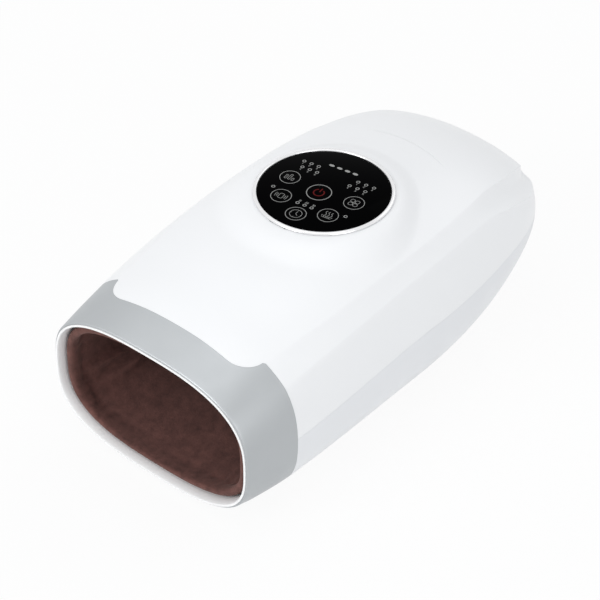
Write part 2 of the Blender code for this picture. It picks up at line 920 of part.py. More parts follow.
def shell_grid(loop, count, inset, lift):
    def rows_for(edge):
        y = crowded_rows(edge + gap, tail, count)
        return y - inset * np.clip(between(y, edge + gap, tail), 0, 1)

    grid = np.stack(loop(rows_for, inset), axis=1)
    grid[-1] = (0, tail - inset, tail_height)
    grid[..., 2] += lift
    return grid


def make_upper_shell():
    outer = shell_grid(top_loop, upper_rows, 0, gap / 2)
    inner = shell_grid(top_loop, upper_rows, wall, gap / 2)
    shell = between_sheets("upper_shell", outer, inner, shell_look)
    hole = turned("panel_hole", rod_profile(panel_hole_radius, plateau_height), cutter_look, panel_facets)
    cut(shell, place(hole, panel_centre + Vector((0, 0, plateau_height / 2))))
    for side in (-1, 1):
        centre = (side * long_screw_side, long_screw_place)
        seat = lambda x, y: skin_height(x, y, wall / 2, True)
        bottom = long_boss_height + gap
        join(shell, boss(f"upper_boss_{side}", centre, screw_boss_radius, 0, bottom, seat, shell_look))
        bore_end = bottom + long_boss_engagement
        cut(shell, upright_cutter(f"upper_bore_{side}", screw_bore, *centre, bottom - overrun, bore_end))


def step_cutter(name, centre, wide, narrow, low, seat, high):
    profile = [(0, low), (wide, low), (wide, seat), (narrow, seat), (narrow, high), (0, high)]
    return place(turned(name, profile, cutter_look, small_facets), Vector((*centre, 0)))


def make_lower_shell():
    outer = shell_grid(bottom_loop, lower_rows, 0, -gap / 2)
    inner = shell_grid(bottom_loop, lower_rows, wall, -gap / 2)
    shell = between_sheets("lower_shell", outer, inner, base_look)
    head_bore = screw_head_radius + gap
    for index, centre in enumerate(tray_post_places):
        seat = lambda x, y: skin_height(x, y, wall / 2, False)
        name = f"tray_post_{index}"
        join(shell, boss(name, centre, screw_boss_radius, screw_bore, tray_height - gap, seat, base_look))
    for side in (-1, 1):
        centre = (side * long_screw_side, long_screw_place)
        seat = lambda x, y: skin_height(x, y, wall / 2, False)
        name = f"lower_boss_{side}"
        join(shell, boss(name, centre, long_boss_radius, 0, long_boss_height, seat, base_look))
        top = long_boss_height + overrun
        well = step_cutter(f"well_{side}", centre, head_bore, screw_bore, 0, long_screw_seat_height, top)
        cut(shell, well)
    for index, centre in enumerate(pocket_screw_places):
        seat = lambda x, y: skin_height(x, y, wall / 2, False)
        name = f"pocket_seat_{index}"
        join(shell, boss(name, centre, long_boss_radius, 0, pocket_seat_height, seat, base_look))
        head_seat = base_height + screw_head_height + gap
        top = pocket_seat_height + overrun
        cut(shell, step_cutter(f"base_hole_{index}", centre, head_bore, screw_bore, 0, head_seat, top))
    for index, centre in enumerate(foot_places):
        top = base_height + foot_recess
        cut(shell, upright_cutter(f"foot_recess_{index}", foot_radius + gap, *centre, 0, top, round_facets))
    hole_start = tail - socket_length - overrun
    hole = turned("socket_hole", rod_profile(socket_radius + gap, 2 * socket_length), cutter_look)
    cut(shell, place(hole, Vector((0, hole_start, socket_height)), "Y"))


def make_collar():
    """The band behind the rim: its front edge is rolled in, its ears reach back over the shoulders and its
    step holds the rim."""
    front = mouth + collar_setback
    step = mouth + rim_depth + gap

    def loop(share, inset, start):
        rows_for = lambda edge: np.array([mix(start, edge, share)])
        around = top_loop(rows_for, inset) + bottom_loop(rows_for, inset)[1:-1]
        return np.concatenate(around)

    rolled = collar_lip * (1 - math.sqrt(0.5))
    loops = [loop(share, 0, front + collar_lip) for share in (0, 0.3, 0.65, 1)]
    loops += [loop(share, collar_wall, step) for share in (1, 0.5, 0)]
    loops += [loop(0, collar_lip, step), loop(0, collar_lip, front), loop(0, rolled, front + rolled)]
    ring_of_loops("front_collar", np.array(loops), collar_look)


def make_mouth_rim():
    """A lip with its crest near the collar and a funnel that leads the hand in to the lining."""
    flange = rim_width - collar_lip - gap
    profile = [
        (0, rim_sleeve_depth),
        (0, rim_funnel_depth),
        (rim_crest * 0.3, rim_funnel_depth * 0.45),
        (rim_crest * 0.65, rim_funnel_depth * 0.14),
        (rim_crest, 0),
        (flange - rim_shoulder * 0.3, rim_shoulder * 0.3),
        (flange, rim_shoulder),
        (flange, rim_depth),
        (rim_sleeve_wall, rim_depth),
        (rim_sleeve_wall, rim_sleeve_depth),
    ]
    angles = np.linspace(0, 2 * math.pi, 2 * pocket_columns, endpoint=False)
    loops = []
    for reach, depth in profile:
        half_width = opening_half_width + reach
        half_height = opening_half_height + reach
        y = mouth + depth + 0 * angles
        loops.append(oval_point(y, angles, half_width, half_height, opening_centre_height))
    ring_of_loops("mouth_rim", np.array(loops), rim_look)


# Panel stack

ring_inner = panel_radius + gap
ring_sleeve_outer = ring_inner + ring_sleeve_wall
panel_hole_radius = ring_sleeve_outer + gap
ring_outer = panel_radius + ring_flange
ring_seat = plateau_height + gap / 2 + gap
ring_top = ring_seat + ring_rise
panel_top = ring_top - panel_sink
ledge_top = panel_top - panel_thickness - gap
ledge_base = ledge_top - ledge_thickness
ledge_inner = panel_radius - ledge_width
board_top = ledge_base - gap
panel_board_base = board_top - board_thickness
panel_screw_ring = (ledge_inner + ring_inner) / 2
panel_screw_angles = np.arange(panel_screw_count) * 2 * math.pi / panel_screw_count
panel_screw_places = [
    (panel_screw_ring * math.sin(angle), panel_place + panel_screw_ring * math.cos(angle))
    for angle in panel_screw_angles
]


def make_panel_ring():
    edge = ring_rise / 4
    profile = [
        (ring_inner, ring_top - edge),
        (ring_inner + edge, ring_top),
        (ring_outer - 2 * edge, ring_top),
        (ring_outer, ring_top - 2 * edge),
        (ring_outer, ring_seat),
        (ring_sleeve_outer, ring_seat),
        (ring_sleeve_outer, ring_top - ring_depth),
        (ring_inner, ring_top - ring_depth),
        (ring_inner, ledge_base),
        (ledge_inner, ledge_base),
        (ledge_inner, ledge_top),
        (ring_inner, ledge_top),
    ]
    ring = turned("panel_ring", profile, trim_look, panel_facets)
    place(ring, panel_centre)
    for index, centre in enumerate(panel_screw_places):
        top = ledge_base + ledge_thickness * 0.8
        name = f"ledge_bore_{index}"
        cut(ring, upright_cutter(name, panel_screw_radius + gap, *centre, ledge_base - overrun, top, screw_facets))


def make_panel_discs():
    edge = panel_thickness / 5
    glass = [
        (0, panel_top - panel_thickness),
        (panel_radius, panel_top - panel_thickness),
        (panel_radius, panel_top - edge),
        (panel_radius - edge, panel_top),
        (0, panel_top),
    ]
    place(turned("touch_panel", glass, glass_look, panel_facets), panel_centre)
    guide_radius = ledge_inner - gap
    guide = turned("light_guide", rod_profile(guide_radius, ledge_thickness), guide_look, round_facets)
    place(guide, panel_centre + Vector((0, 0, ledge_base)))
    board = turned("panel_board", rod_profile(ring_inner - gap, board_thickness), board_look, panel_facets)
    place(board, panel_centre + Vector((0, 0, panel_board_base)))
    for index, centre in enumerate(panel_screw_places):
        name = f"board_bore_{index}"
        low = panel_board_base - overrun
        cut(board, upright_cutter(name, panel_screw_radius + gap, *centre, low, board_top + overrun, screw_facets))
        screw(
            f"panel_screw_{index + 1}",
            Vector((*centre, panel_board_base - gap - panel_screw_head)),
            panel_screw_length,
            radius=panel_screw_radius,
            head_radius=2 * panel_screw_radius,
            head_height=panel_screw_head,
        )


def screw(name, head, length, downward=False, radius=screw_radius, head_radius=screw_head_radius,
          head_height=screw_head_height):
    """A pan-head screw whose head's outer face is at the given point, its shank running up or down."""
    profile = [
        (0, 0),
        (head_radius * 0.8, 0),
        (head_radius, head_height * 0.4),
        (head_radius, head_height),
        (radius, head_height),
        (radius, head_height + length),
        (0, head_height + length),
    ]
    made = turned(name, profile, steel_look, screw_facets)
    made.matrix_world = Matrix.Translation(head)
    if downward:
        made.matrix_world = made.matrix_world @ Matrix.Rotation(math.pi, 4, "X")
    return made


def make_housing_screws():
    for index, centre in enumerate(pocket_screw_places):
        screw(f"pocket_screw_{index + 1}", Vector((*centre, base_height)), pocket_screw_length)
    for index, side in enumerate((-1, 1)):
        head = long_screw_seat_height - gap - screw_head_height
        place_at = Vector((side * long_screw_side, long_screw_place, head))
        screw(f"long_screw_{index + 1}", place_at, long_screw_length)
    for index, centre in enumerate(tray_post_places):
        top = tray_top + gap + screw_head_height
        screw(f"tray_screw_{index + 1}", Vector((*centre, top)), tray_screw_length, downward=True)
    for index, centre in enumerate(board_post_places):
        top = board_level + board_thickness + gap + screw_head_height
        screw(f"board_screw_{index + 1}", Vector((*centre, top)), board_screw_length, downward=True)


foot_places = [(side * foot_side, place_y) for side in (-1, 1) for place_y in (foot_front, foot_rear)]


def make_feet():
    height = base_height + foot_recess - gap
    profile = [(0, 0), (foot_radius - foot_edge, 0), (foot_radius, foot_edge), (foot_radius, height), (0, height)]
    for index, centre in enumerate(foot_places):
        place(turned(f"foot_{index + 1}", profile, rubber_look), Vector((*centre, 0)))


# Tray and what stands on it

tray_top = tray_height + tray_thickness
tray_seat = tray_top + gap
tray_post_places = [
    (side * post_side, post_y)
    for side in (-1, 1)
    for post_side, post_y in ((tray_post_front_side, tray_post_front), (tray_post_rear_side, tray_post_rear))
]
long_boss_radius = screw_head_radius + gap + screw_boss_wall
pump_axis_height = tray_seat + pump_size / 2
pump_motor_face = pump_head_end - pump_head_length - gap
manifold_left = spigot_place - manifold_width / 2
manifold_right = spigot_place + manifold_width / 2
manifold_top = tray_seat + manifold_height


def prism_along_x(name, outline, low, high, look):
    """A solid with the given outline of (y, z), from low to high along X."""
    made = prism(name, outline, low, high, look)
    made.matrix_world = Matrix(((0, 0, 1, 0), (1, 0, 0, 0), (0, 1, 0, 0), (0, 0, 0, 1)))
    return made


def prism_along_y(name, outline, low, high, look):
    """A solid with the given outline of (x, z), from low to high along Y."""
    made = prism(name, outline, -high, -low, look)
    made.matrix_world = Matrix(((1, 0, 0, 0), (0, 0, -1, 0), (0, 1, 0, 0), (0, 0, 0, 1)))
    return made


def arc_points(centre, radius, start, end, steps):
    angles = np.linspace(start, end, steps)
    return [(centre[0] + radius * math.cos(angle), centre[1] + radius * math.sin(angle)) for angle in angles]


def make_tray():
    half_front = tray_front_width / 2
    half_rear = tray_rear_width / 2
    corners = [
        (-half_front, tray_front),
        (half_front, tray_front),
        (half_front, tray_shoulder),
        (half_rear, tray_rear),
        (-half_rear, tray_rear),
        (-half_front, tray_shoulder),
    ]
    tray = prism("mechanism_tray", rounded_outline(corners, tray_corner), tray_height, tray_top, frame_look)
    half_cradle = pump_motor_radius * 0.7
    seat = (pump_place, pump_axis_height)
    dip = math.asin(0.7)
    arc = arc_points(seat, pump_motor_radius + gap, -quarter - dip, -quarter + dip, 7)
    low = tray_height + tray_thickness / 2
    left = pump_place - half_cradle - cradle_thickness / 2
    right = pump_place + half_cradle + cradle_thickness / 2
    outline = [(left, low), (left, arc[0][1]), *arc, (right, arc[-1][1]), (right, low)]
    cradle_middle = pump_motor_face - pump_motor_length * 0.7
    x_low = cradle_middle - cradle_thickness / 2
    join(tray, prism_along_x("motor_cradle", outline, x_low, x_low + cradle_thickness, frame_look))
    for index, centre in enumerate(tray_post_places):
        name = f"tray_hole_{index}"
        cut(tray, upright_cutter(name, screw_bore, *centre, tray_height - overrun, tray_top + overrun))
    for side in (-1, 1):
        centre = (side * long_screw_side, long_screw_place)
        radius = long_boss_radius + notch_clearance
        cut(tray, upright_cutter(f"boss_notch_{side}", radius, *centre, tray_height - overrun, tray_top + overrun))
    radius = nozzle_radius + gap
    centre = (spigot_place, pump_place)
    cut(tray, upright_cutter("nozzle_hole", radius, *centre, tray_height - overrun, tray_top + overrun))


def make_pump():
    low = pump_head_end - pump_head_length
    half = pump_size / 2
    corners = box_outline(pump_place - half, pump_place + half, tray_seat, tray_seat + pump_size)
    head = prism_along_x("pump_head", rounded_outline(corners, pump_edge), low, pump_head_end, pump_look)
    axis = Vector((0, pump_place, pump_axis_height))
    pocket_depth = pump_pocket_depth + overrun
    pocket = turned("crank_pocket", rod_profile(pump_pocket_radius, pocket_depth), cutter_look)
    cut(head, place(pocket, axis + Vector((low - overrun, 0, 0)), "X"))
    nozzle = turned("pump_nozzle", rod_profile(nozzle_radius, 2 * nozzle_length), pump_look, small_facets)
    join(head, place(nozzle, axis + Vector((pump_head_end - nozzle_length, 0, 0)), "X"))
    motor = turned("pump_motor", rod_profile(pump_motor_radius, pump_motor_length), steel_look)
    place(motor, axis + Vector((pump_motor_face - pump_motor_length, 0, 0)), "X")
    bore_radius = shaft_radius + shaft_clearance
    bore = turned("motor_bore", rod_profile(bore_radius, pump_motor_recess + overrun), cutter_look, small_facets)
    cut(motor, place(bore, axis + Vector((pump_motor_face - pump_motor_recess, 0, 0)), "X"))


def make_pump_crank():
    shaft = pump_motor_recess - gap + crank_standoff
    disc_top = shaft + crank_thickness
    edge = crank_thickness / 6
    profile = [
        (0, 0),
        (shaft_radius, 0),
        (shaft_radius, shaft),
        (crank_radius, shaft),
        (crank_radius, disc_top - edge),
        (crank_radius - edge, disc_top),
        (0, disc_top),
    ]
    crank = turned("pump_crank", profile, steel_look)
    start = Vector((pump_motor_face - pump_motor_recess + gap, pump_place, pump_axis_height))
    place(crank, start, "X")
    pin = turned("crank_pin", rod_profile(crank_pin_radius, crank_thickness / 2 + crank_pin_length), steel_look, small_facets)
    join(crank, place(pin, start + Vector((disc_top - crank_thickness / 2, 0, -crank_offset)), "X"))


def make_manifold():
    low_y = pump_place - manifold_depth / 2
    high_y = pump_place + manifold_depth / 2
    corners = box_outline(manifold_left, manifold_right, low_y, high_y)
    block = prism("air_manifold", rounded_outline(corners, nozzle_radius / 2), tray_seat, manifold_top, pump_look)
    inlet = turned("manifold_inlet", rod_profile(nozzle_radius, 2 * nozzle_length), pump_look, small_facets)
    inlet_start = Vector((manifold_left - nozzle_length, pump_place, pump_axis_height))
    join(block, place(inlet, inlet_start, "X"))
    low = tray_height - nozzle_stub
    riser = turned("manifold_riser", rod_profile(nozzle_radius, manifold_top + nozzle_length - low), pump_look, small_facets)
    join(block, place(riser, Vector((spigot_place, pump_place, low))))


def make_valves():
    for index, name in enumerate(("lower", "upper")):
        low_z = tray_seat + index * (valve_size + gap)
        half = valve_size / 2
        corners = box_outline(pump_place - half, pump_place + half, low_z, low_z + valve_size)
        low_x = manifold_right + gap
        outline = rounded_outline(corners, nozzle_radius / 2)
        body = prism_along_x(f"valve_{name}", outline, low_x, low_x + valve_length, valve_look)
        end_x = low_x + valve_length
        axis = Vector((0, pump_place, low_z + half))
        bore_radius = plunger_radius + plunger_clearance
        bore = turned(f"valve_bore_{name}", rod_profile(bore_radius, plunger_bore_depth + overrun), cutter_look, small_facets)
        cut(body, place(bore, axis + Vector((end_x - plunger_bore_depth, 0, 0)), "X"))
        edge = plunger_radius / 4
        profile = [
            (0, 0),
            (plunger_radius, 0),
            (plunger_radius, plunger_length - edge),
            (plunger_radius - edge, plunger_length),
            (0, plunger_length),
        ]
        plunger = turned(f"plunger_{name}", profile, steel_look, small_facets)
        start = end_x - plunger_bore_depth + plunger_travel + gap
        place(plunger, axis + Vector((start, 0, 0)), "X")


def smooth_route(start, start_way, end, end_way):
    """A smooth bend from start to end, with a straight piece over the nozzle at each end."""
    reach = (end - start).length / 2
    first = start + start_way * reach
    last = end + end_way * reach
    route = [start - start_way * hose_overlap]
    for t in np.linspace(0, 1, hose_steps):
        s = 1 - t
        route.append(start * s**3 + first * 3 * s * s * t + last * 3 * s * t * t + end * t**3)
    return route + [end - end_way * hose_overlap]


def make_hose(name, route, side):
    """A tube along a route that stays square to the side direction."""
    middle = np.array([tuple(point) for point in route])
    along = np.gradient(middle, axis=0)
    along = along / np.linalg.norm(along, axis=1, keepdims=True)
    side = np.array(side)
    up = np.cross(along, side)
    angles = np.linspace(0, 2 * math.pi, hose_facets, endpoint=False)
    way = np.cos(angles)[None, :, None] * side + np.sin(angles)[None, :, None] * up[:, None, :]
    outer = middle[:, None, :] + hose_radius * way
    inner = middle[:, None, :] + hose_bore * way
    ring_of_loops(name, np.concatenate([outer, inner[::-1]]), hose_look)


def make_hoses():
    low_x = pump_head_end + nozzle_length - hose_overlap
    high_x = manifold_left - nozzle_length + hose_overlap
    pump_route = [(low_x, pump_place, pump_axis_height), (high_x, pump_place, pump_axis_height)]
    make_hose("pump_hose", pump_route, (0, 1, 0))
    rearward = Vector((0, 1, 0))
    upright = Vector((0, 0, 1))
    for name, upward, end_z, end_way in (
        ("upper_hose", True, manifold_top + nozzle_length, upright),
        ("lower_hose", False, tray_height - nozzle_stub, -upright),
    ):
        start = Vector((spigot_place, spigot_end, cell_middle(upward)))
        end = Vector((spigot_place, pump_place, end_z))
        make_hose(name, smooth_route(start, rearward, end, end_way), (1, 0, 0))


def make_battery():
    half_inside = battery_length / 2 + cradle_end_gap
    half_outside = half_inside + cradle_wall
    floor = tray_seat + cradle_wall
    top = floor + gap + 4 * battery_radius
    outline = [
        (-half_outside, tray_seat),
        (half_outside, tray_seat),
        (half_outside, top),
        (half_inside, top),
        (half_inside, floor),
        (-half_inside, floor),
        (-half_inside, top),
        (-half_outside, top),
    ]
    low_y = battery_place - battery_radius
    prism_along_y("battery_cradle", outline, low_y, battery_place + battery_radius, frame_look)
    cap = battery_length - battery_cap_height
    edge = battery_cap_height
    profile = [
        (0, 0),
        (battery_radius - edge, 0),
        (battery_radius, edge),
        (battery_radius, cap - edge),
        (battery_radius - edge, cap),
        (battery_cap_radius, cap),
        (battery_cap_radius, battery_length),
        (0, battery_length),
    ]
    for index in range(2):
        cell = turned(f"battery_cell_{index + 1}", profile, battery_look)
        height = floor + gap + battery_radius + index * (2 * battery_radius + gap)
        place(cell, Vector((-battery_length / 2, battery_place, height)), "X")


def make_control_board():
    half_width = control_board_width / 2
    half_depth = control_board_depth / 2
    corners = box_outline(-half_width, half_width, panel_place - half_depth, panel_place + half_depth)
    top = board_level + board_thickness
    outline = rounded_outline(corners, control_board_corner)
    board = prism("control_board", outline, board_level, top, board_look)
    for index, centre in enumerate(board_post_places):
        name = f"control_bore_{index}"
        cut(board, upright_cutter(name, screw_bore, *centre, board_level - overrun, top + overrun))


def make_vibration_motors():
    axis_height = shaker_level + gap + shaker_radius
    for name, side in (("left", -1), ("right", 1)):
        near = side * (shaker_side - shaker_length / 2)
        low_x = min(near, near + side * shaker_length)
        motor = turned(f"vibration_motor_{name}", rod_profile(shaker_radius, shaker_length), steel_look)
        place(motor, Vector((low_x, shaker_place, axis_height)), "X")
        bore_radius = shaft_radius + shaft_clearance
        bore = turned(f"shaker_bore_{name}", rod_profile(bore_radius, shaker_recess + overrun), cutter_look, small_facets)
        bore_low = min(near - side * overrun, near + side * shaker_recess)
        cut(motor, place(bore, Vector((bore_low, shaker_place, axis_height)), "X"))
        make_weight(name, side, near, axis_height)
        make_strap(name, side, axis_height)


def make_weight(name, side, near, axis_height):
    """Half a disc on a shaft, which shakes the pocket as it turns."""
    hub = shaft_radius * 2.2
    half_disc = arc_points((0, 0), shaker_weight_radius, -math.pi, 0, 13)
    hub_arc = arc_points((0, 0), hub, 0, math.pi, 7)
    weight = prism_along_x(f"vibration_weight_{name}", half_disc + hub_arc, 0, shaker_weight_thickness, brass_look)
    inner = near - side * shaker_weight_gap
    low_x = min(inner, inner - side * shaker_weight_thickness)
    turned_over = Matrix.Translation(Vector((low_x, shaker_place, axis_height)))
    weight.matrix_world = turned_over @ weight.matrix_world
    shaft_length = shaker_recess - gap + shaker_weight_gap + shaker_weight_thickness / 2
    shaft_end = near + side * (shaker_recess - gap)
    shaft_low = min(shaft_end, shaft_end - side * shaft_length)
    shaft = turned(f"weight_shaft_{name}", rod_profile(shaft_radius, shaft_length), steel_look, small_facets)
    join(weight, place(shaft, Vector((shaft_low, shaker_place, axis_height)), "X"))


def make_strap(name, side, axis_height):
    """A sheet strap over the motor, its two feet flat on the pad."""
    inner = shaker_radius + gap
    outer = inner + strap_thickness
    low = shaker_level + gap
    foot_top = low + strap_thickness
    reach = outer + strap_foot
    centre = (shaker_place, axis_height)
    outline = [(shaker_place - reach, low), (shaker_place - inner, low)]
    outline += arc_points(centre, inner, math.pi, 0, 13)
    outline += [(shaker_place + inner, low), (shaker_place + reach, low), (shaker_place + reach, foot_top)]
    outline += [(shaker_place + outer, foot_top)]
    outline += arc_points(centre, outer, 0, math.pi, 13)
    outline += [(shaker_place - outer, foot_top), (shaker_place - reach, foot_top)]
    low_x = side * shaker_side - strap_width / 2
    prism_along_x(f"motor_strap_{name}", outline, low_x, low_x + strap_width, steel_look)


# Charging socket


def tail_place(z, inset):
    """Y of the lower skin's middle line at the height z, behind the start of the lift."""
    depth = tail_height - base_height + corner_drop - inset
    share = (1 - ((tail_height - z) / depth) ** lift_power) ** (1 / lift_power)
    return lift_start + share * (tail - inset - lift_start)


def make_charge_socket():
    face = float(tail_place(socket_height - socket_radius, 0)) - socket_sink
    flange_front = float(tail_place(socket_height - socket_flange_radius, wall)) - gap - socket_sink
    back = face - socket_length
    edge = socket_sink / 4
    profile = [
        (0, back),
        (socket_radius, back),
        (socket_radius, flange_front - socket_flange_thickness),
        (socket_flange_radius, flange_front - socket_flange_thickness),
        (socket_flange_radius, flange_front),
        (socket_radius, flange_front),
        (socket_radius, face - edge),
        (socket_radius - edge, face),
        (socket_bore_radius, face),
        (socket_bore_radius, face - socket_bore_depth),
        (socket_pin_radius, face - socket_bore_depth),
        (socket_pin_radius, face - socket_sink),
        (0, face - socket_sink),
    ]
    socket = turned("charge_socket", profile, socket_look)
    place(socket, Vector((0, 0, socket_height)), "Y")


shell_look = material("shell_white", (0.93, 0.935, 0.94), 0.18, coat=0.5)
base_look = material("base_white", (0.86, 0.865, 0.875), 0.28)
collar_look = material("collar_silver", (0.62, 0.635, 0.64), 0.32, metallic=0.6)
rim_look = material("rim_pale", (0.84, 0.85, 0.85), 0.35)
trim_look = material("trim_silver", (0.80, 0.80, 0.81), 0.15, metallic=0.9)
glass_look = material("panel_black", (0.006, 0.006, 0.007), 0.06, coat=1.0)
guide_look = material("guide_white", (0.85, 0.85, 0.85), 0.5)
board_look = material("board_green", (0.03, 0.16, 0.07), 0.5)
fabric_look = material("lining_brown", (0.085, 0.040, 0.034), 0.95)
cell_look = material("cell_film", (0.30, 0.32, 0.36), 0.45)
heater_look = material("heater_film", (0.05, 0.05, 0.055), 0.6)
frame_look = material("frame_black", (0.035, 0.036, 0.04), 0.5)
pump_look = material("pump_grey", (0.22, 0.23, 0.25), 0.45)
valve_look = material("valve_white", (0.75, 0.75, 0.72), 0.45)
steel_look = material("steel", (0.56, 0.57, 0.58), 0.3, metallic=1.0)
brass_look = material("brass", (0.62, 0.45, 0.17), 0.35, metallic=1.0)
hose_look = material("hose_clear", (0.72, 0.75, 0.76), 0.3)
battery_look = material("battery_blue", (0.03, 0.12, 0.36), 0.35)
socket_look = material("socket_black", (0.02, 0.02, 0.022), 0.4)
rubber_look = material("foot_rubber", (0.10, 0.10, 0.105), 0.85)
cutter_look = material("cutter", (0.9, 0.2, 0.1), 1.0)

clear_scene()
make_upper_shell()
make_lower_shell()
make_collar()
make_mouth_rim()
make_panel_ring()
make_panel_discs()
make_pocket_housing()
make_hand_lining()
make_air_cell("upper_air_cell", True)
make_air_cell("lower_air_cell", False)
make_heating_pad()
make_tray()
make_pump()
make_pump_crank()
make_manifold()
make_valves()
make_hoses()
make_battery()
make_control_board()
make_vibration_motors()
make_charge_socket()
make_housing_screws()
make_feet()
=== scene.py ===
"""Hand massager: the visible skins, the padded lining, the panel's print and every material, over the
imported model, with the camera and the light of the photograph. Metres, Z up, the hand goes in from -Y."""

import json
import math

import bmesh
import bpy
import numpy as np
from mathutils import Matrix, Vector


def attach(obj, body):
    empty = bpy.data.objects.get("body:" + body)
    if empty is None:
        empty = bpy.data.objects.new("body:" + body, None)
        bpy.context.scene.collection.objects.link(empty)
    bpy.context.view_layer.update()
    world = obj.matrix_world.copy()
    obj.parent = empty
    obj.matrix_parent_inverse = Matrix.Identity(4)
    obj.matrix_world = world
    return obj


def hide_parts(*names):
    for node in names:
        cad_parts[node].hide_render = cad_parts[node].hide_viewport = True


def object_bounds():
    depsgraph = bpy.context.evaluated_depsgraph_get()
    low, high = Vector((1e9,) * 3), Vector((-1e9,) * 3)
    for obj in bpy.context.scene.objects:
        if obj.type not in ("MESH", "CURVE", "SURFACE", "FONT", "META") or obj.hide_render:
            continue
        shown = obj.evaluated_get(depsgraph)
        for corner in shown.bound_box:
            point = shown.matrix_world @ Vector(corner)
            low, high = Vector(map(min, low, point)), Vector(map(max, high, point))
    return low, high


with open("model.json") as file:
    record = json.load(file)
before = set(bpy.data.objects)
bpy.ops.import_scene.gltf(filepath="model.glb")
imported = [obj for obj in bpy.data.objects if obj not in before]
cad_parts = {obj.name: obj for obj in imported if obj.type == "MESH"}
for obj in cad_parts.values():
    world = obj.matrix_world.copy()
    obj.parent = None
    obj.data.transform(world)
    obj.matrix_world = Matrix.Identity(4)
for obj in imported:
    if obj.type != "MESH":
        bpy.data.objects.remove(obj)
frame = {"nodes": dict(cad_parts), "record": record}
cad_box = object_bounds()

nodes = frame["nodes"]

# Sizes of the body. They are the part's own, but for the skirt, the creases, the scoop and the seams, which
# follow the photograph more closely
MOUTH = -0.150
TAIL = 0.150
HALF_WIDTH = 0.080
BASE = 0.0025
CROWN = 0.1172
CROWN_PLACE = 0.0144
WIDEST_PLACE = -0.0057
WIDEST_HEIGHT = 0.0600
TAIL_HEIGHT = 0.0605
LIFT_START = 0.0555
CORNER_DROP = 0.004
WALL = 0.0025
GAP = 0.0003
TOP_SECTION_POWER = 2.75
BASE_SECTION_POWER = 2.90
TOP_SECTION_GAIN = 0.05
BASE_SECTION_LOSS = 1.20
SECTION_CHANGE_END = 0.130
BASE_LEAD = 0.012
CORNER_LEAD = 0.040
SIDE_LEAD_POWER = 3.0
CROWN_LEAD_POWER = 2.2
SIDE_POWER = 3.10
CROWN_FALL_POWER = 2.15
LIFT_POWER = 2.0
OPENING = (0.070, 0.042)
OPENING_CENTRE = 0.0493
RIM = 0.0033
RIM_DEPTH = 0.005
RIM_SLEEVE_DEPTH = 0.012
RIM_SLEEVE_WALL = 0.0013
RIM_FUNNEL_DEPTH = 0.0034
RIM_CREST = 0.0012
RIM_SHOULDER = 0.0002
RIM_STAND_OFF = 0.0003
RIM_CREST_POWER = 4 / 3
COLLAR_WALL = 0.0023
COLLAR_LIP = 0.0010
COLLAR_SETBACK = 0.0006
COLLAR_SEAM = 0.038
COLLAR_FLANK = 0.037
COLLAR_SHOULDER = 0.0362
COLLAR_EAR = 0.0351
COLLAR_VALLEY = 0.0224
COLLAR_MIDDLE = 0.0234
EAR_SHARE = 0.033
VALLEY_SHARE = 0.36
HOOK_POWER = 2.0
PANEL_PLACE = -0.00015
PANEL_RADIUS = 0.0385
PLATEAU = 0.11935
SWELL_FRONT = 0.105
SWELL_REAR = 0.070
SWELL_START_SHARE = 0.50
SWELL_FULL_SHARE = 0.85
SKIRT_FOOT = 0.064
SKIRT_REAR = 0.0565
SKIRT_TURN = (-0.4, 0.6)
SKIRT_SHARE = 0.8
UPPER_CREASE_SHARE = 0.785
UPPER_CREASE_BEND_SHARE = 0.09
UPPER_CREASE_RUN = (-0.0138, 0.1053)
UPPER_CREASE_TURN = 0.073
UPPER_CREASE_FALL = 7.5
UPPER_CREASE_DIP_START = 0.118
UPPER_CREASE_DIP = 60
UPPER_CREASE_LAST_SHARE = 0.86
LOWER_CREASE_SHARE = 0.902
LOWER_CREASE_BEND_SHARE = 0.035
LOWER_CREASE_RUN = (-0.0486, 0.1005)
LOWER_CREASE_TURN = 0.060
LOWER_CREASE_FALL = 6.6
LOWER_CREASE_LAST_SHARE = 0.95
CREASE_FALL_POWER = 1.5
SEAM_RISE_SHARE = 0.10
SEAM_RISE_RUN = (0.0108, 0.1002)
FACET_START = 0.025
FACET_FULL = 0.059
FACET_FADE = 0.138
FACET_END = 0.1485
SCOOP = 0.0045
SCOOP_START = 0.055
SCOOP_FULL = 0.122
SEAM = 0.0001
TOP_POWER = 2.2
ARC_REACH = 0.0795
ARC_WIDTH = 0.0008
ARC_FADE = (0.915, 0.955)
FLANK_POWER = 1.7
PANEL_HOLE = 0.0400
RING_FLANGE = 0.0026
RING_RISE = 0.0012
RING_SLEEVE = 0.0016
RING_DEPTH = 0.0100
RING_BEVEL = 0.0006
# Points of the ring's outer slope: how far in from its rim, how far down from its top
RING_SLOPE = ((0.0011, 0), (0.0005, 0.00022), (0.0001, 0.0006))
PANEL_SINK = 0.0005
GLASS_THICKNESS = 0.0015
GLASS_BEVEL = 0.0004
POCKET_END = 0.060
POCKET_WALL = 0.002
POCKET_TUCK = 0.0006
POCKET_HALF_WIDTH = 0.058
POCKET_HALF_HEIGHT = 0.036
POCKET_CENTRE = 0.052
POCKET_FULL = -0.030
POCKET_ROUNDING = 0.035
POCKET_END_POWER = 2.6
LINING_DIP_START = 0.010
LINING_DIP_END = 0.065
LINING_THICKNESS = 0.003
CELL = 0.009
HEATER = 0.0008
CELL_FRONT = -0.098
CELL_REAR = 0.030
CELL_SPREAD = 0.8976
HEATER_SPREAD = 0.673
SPIGOT_PLACE = 0.026
SPIGOT_RADIUS = 0.0022
SPIGOT_END = 0.065
SPIGOT_ROOT = 0.004
QUARTER = math.pi / 2

MOUTH_HALF = OPENING[0] + RIM
MOUTH_TOP = OPENING_CENTRE + OPENING[1] + RIM
MOUTH_BASE = OPENING_CENTRE - OPENING[1] - RIM
RING_TOP = PLATEAU + GAP * 1.5 + RING_RISE
PANEL_TOP = RING_TOP - PANEL_SINK


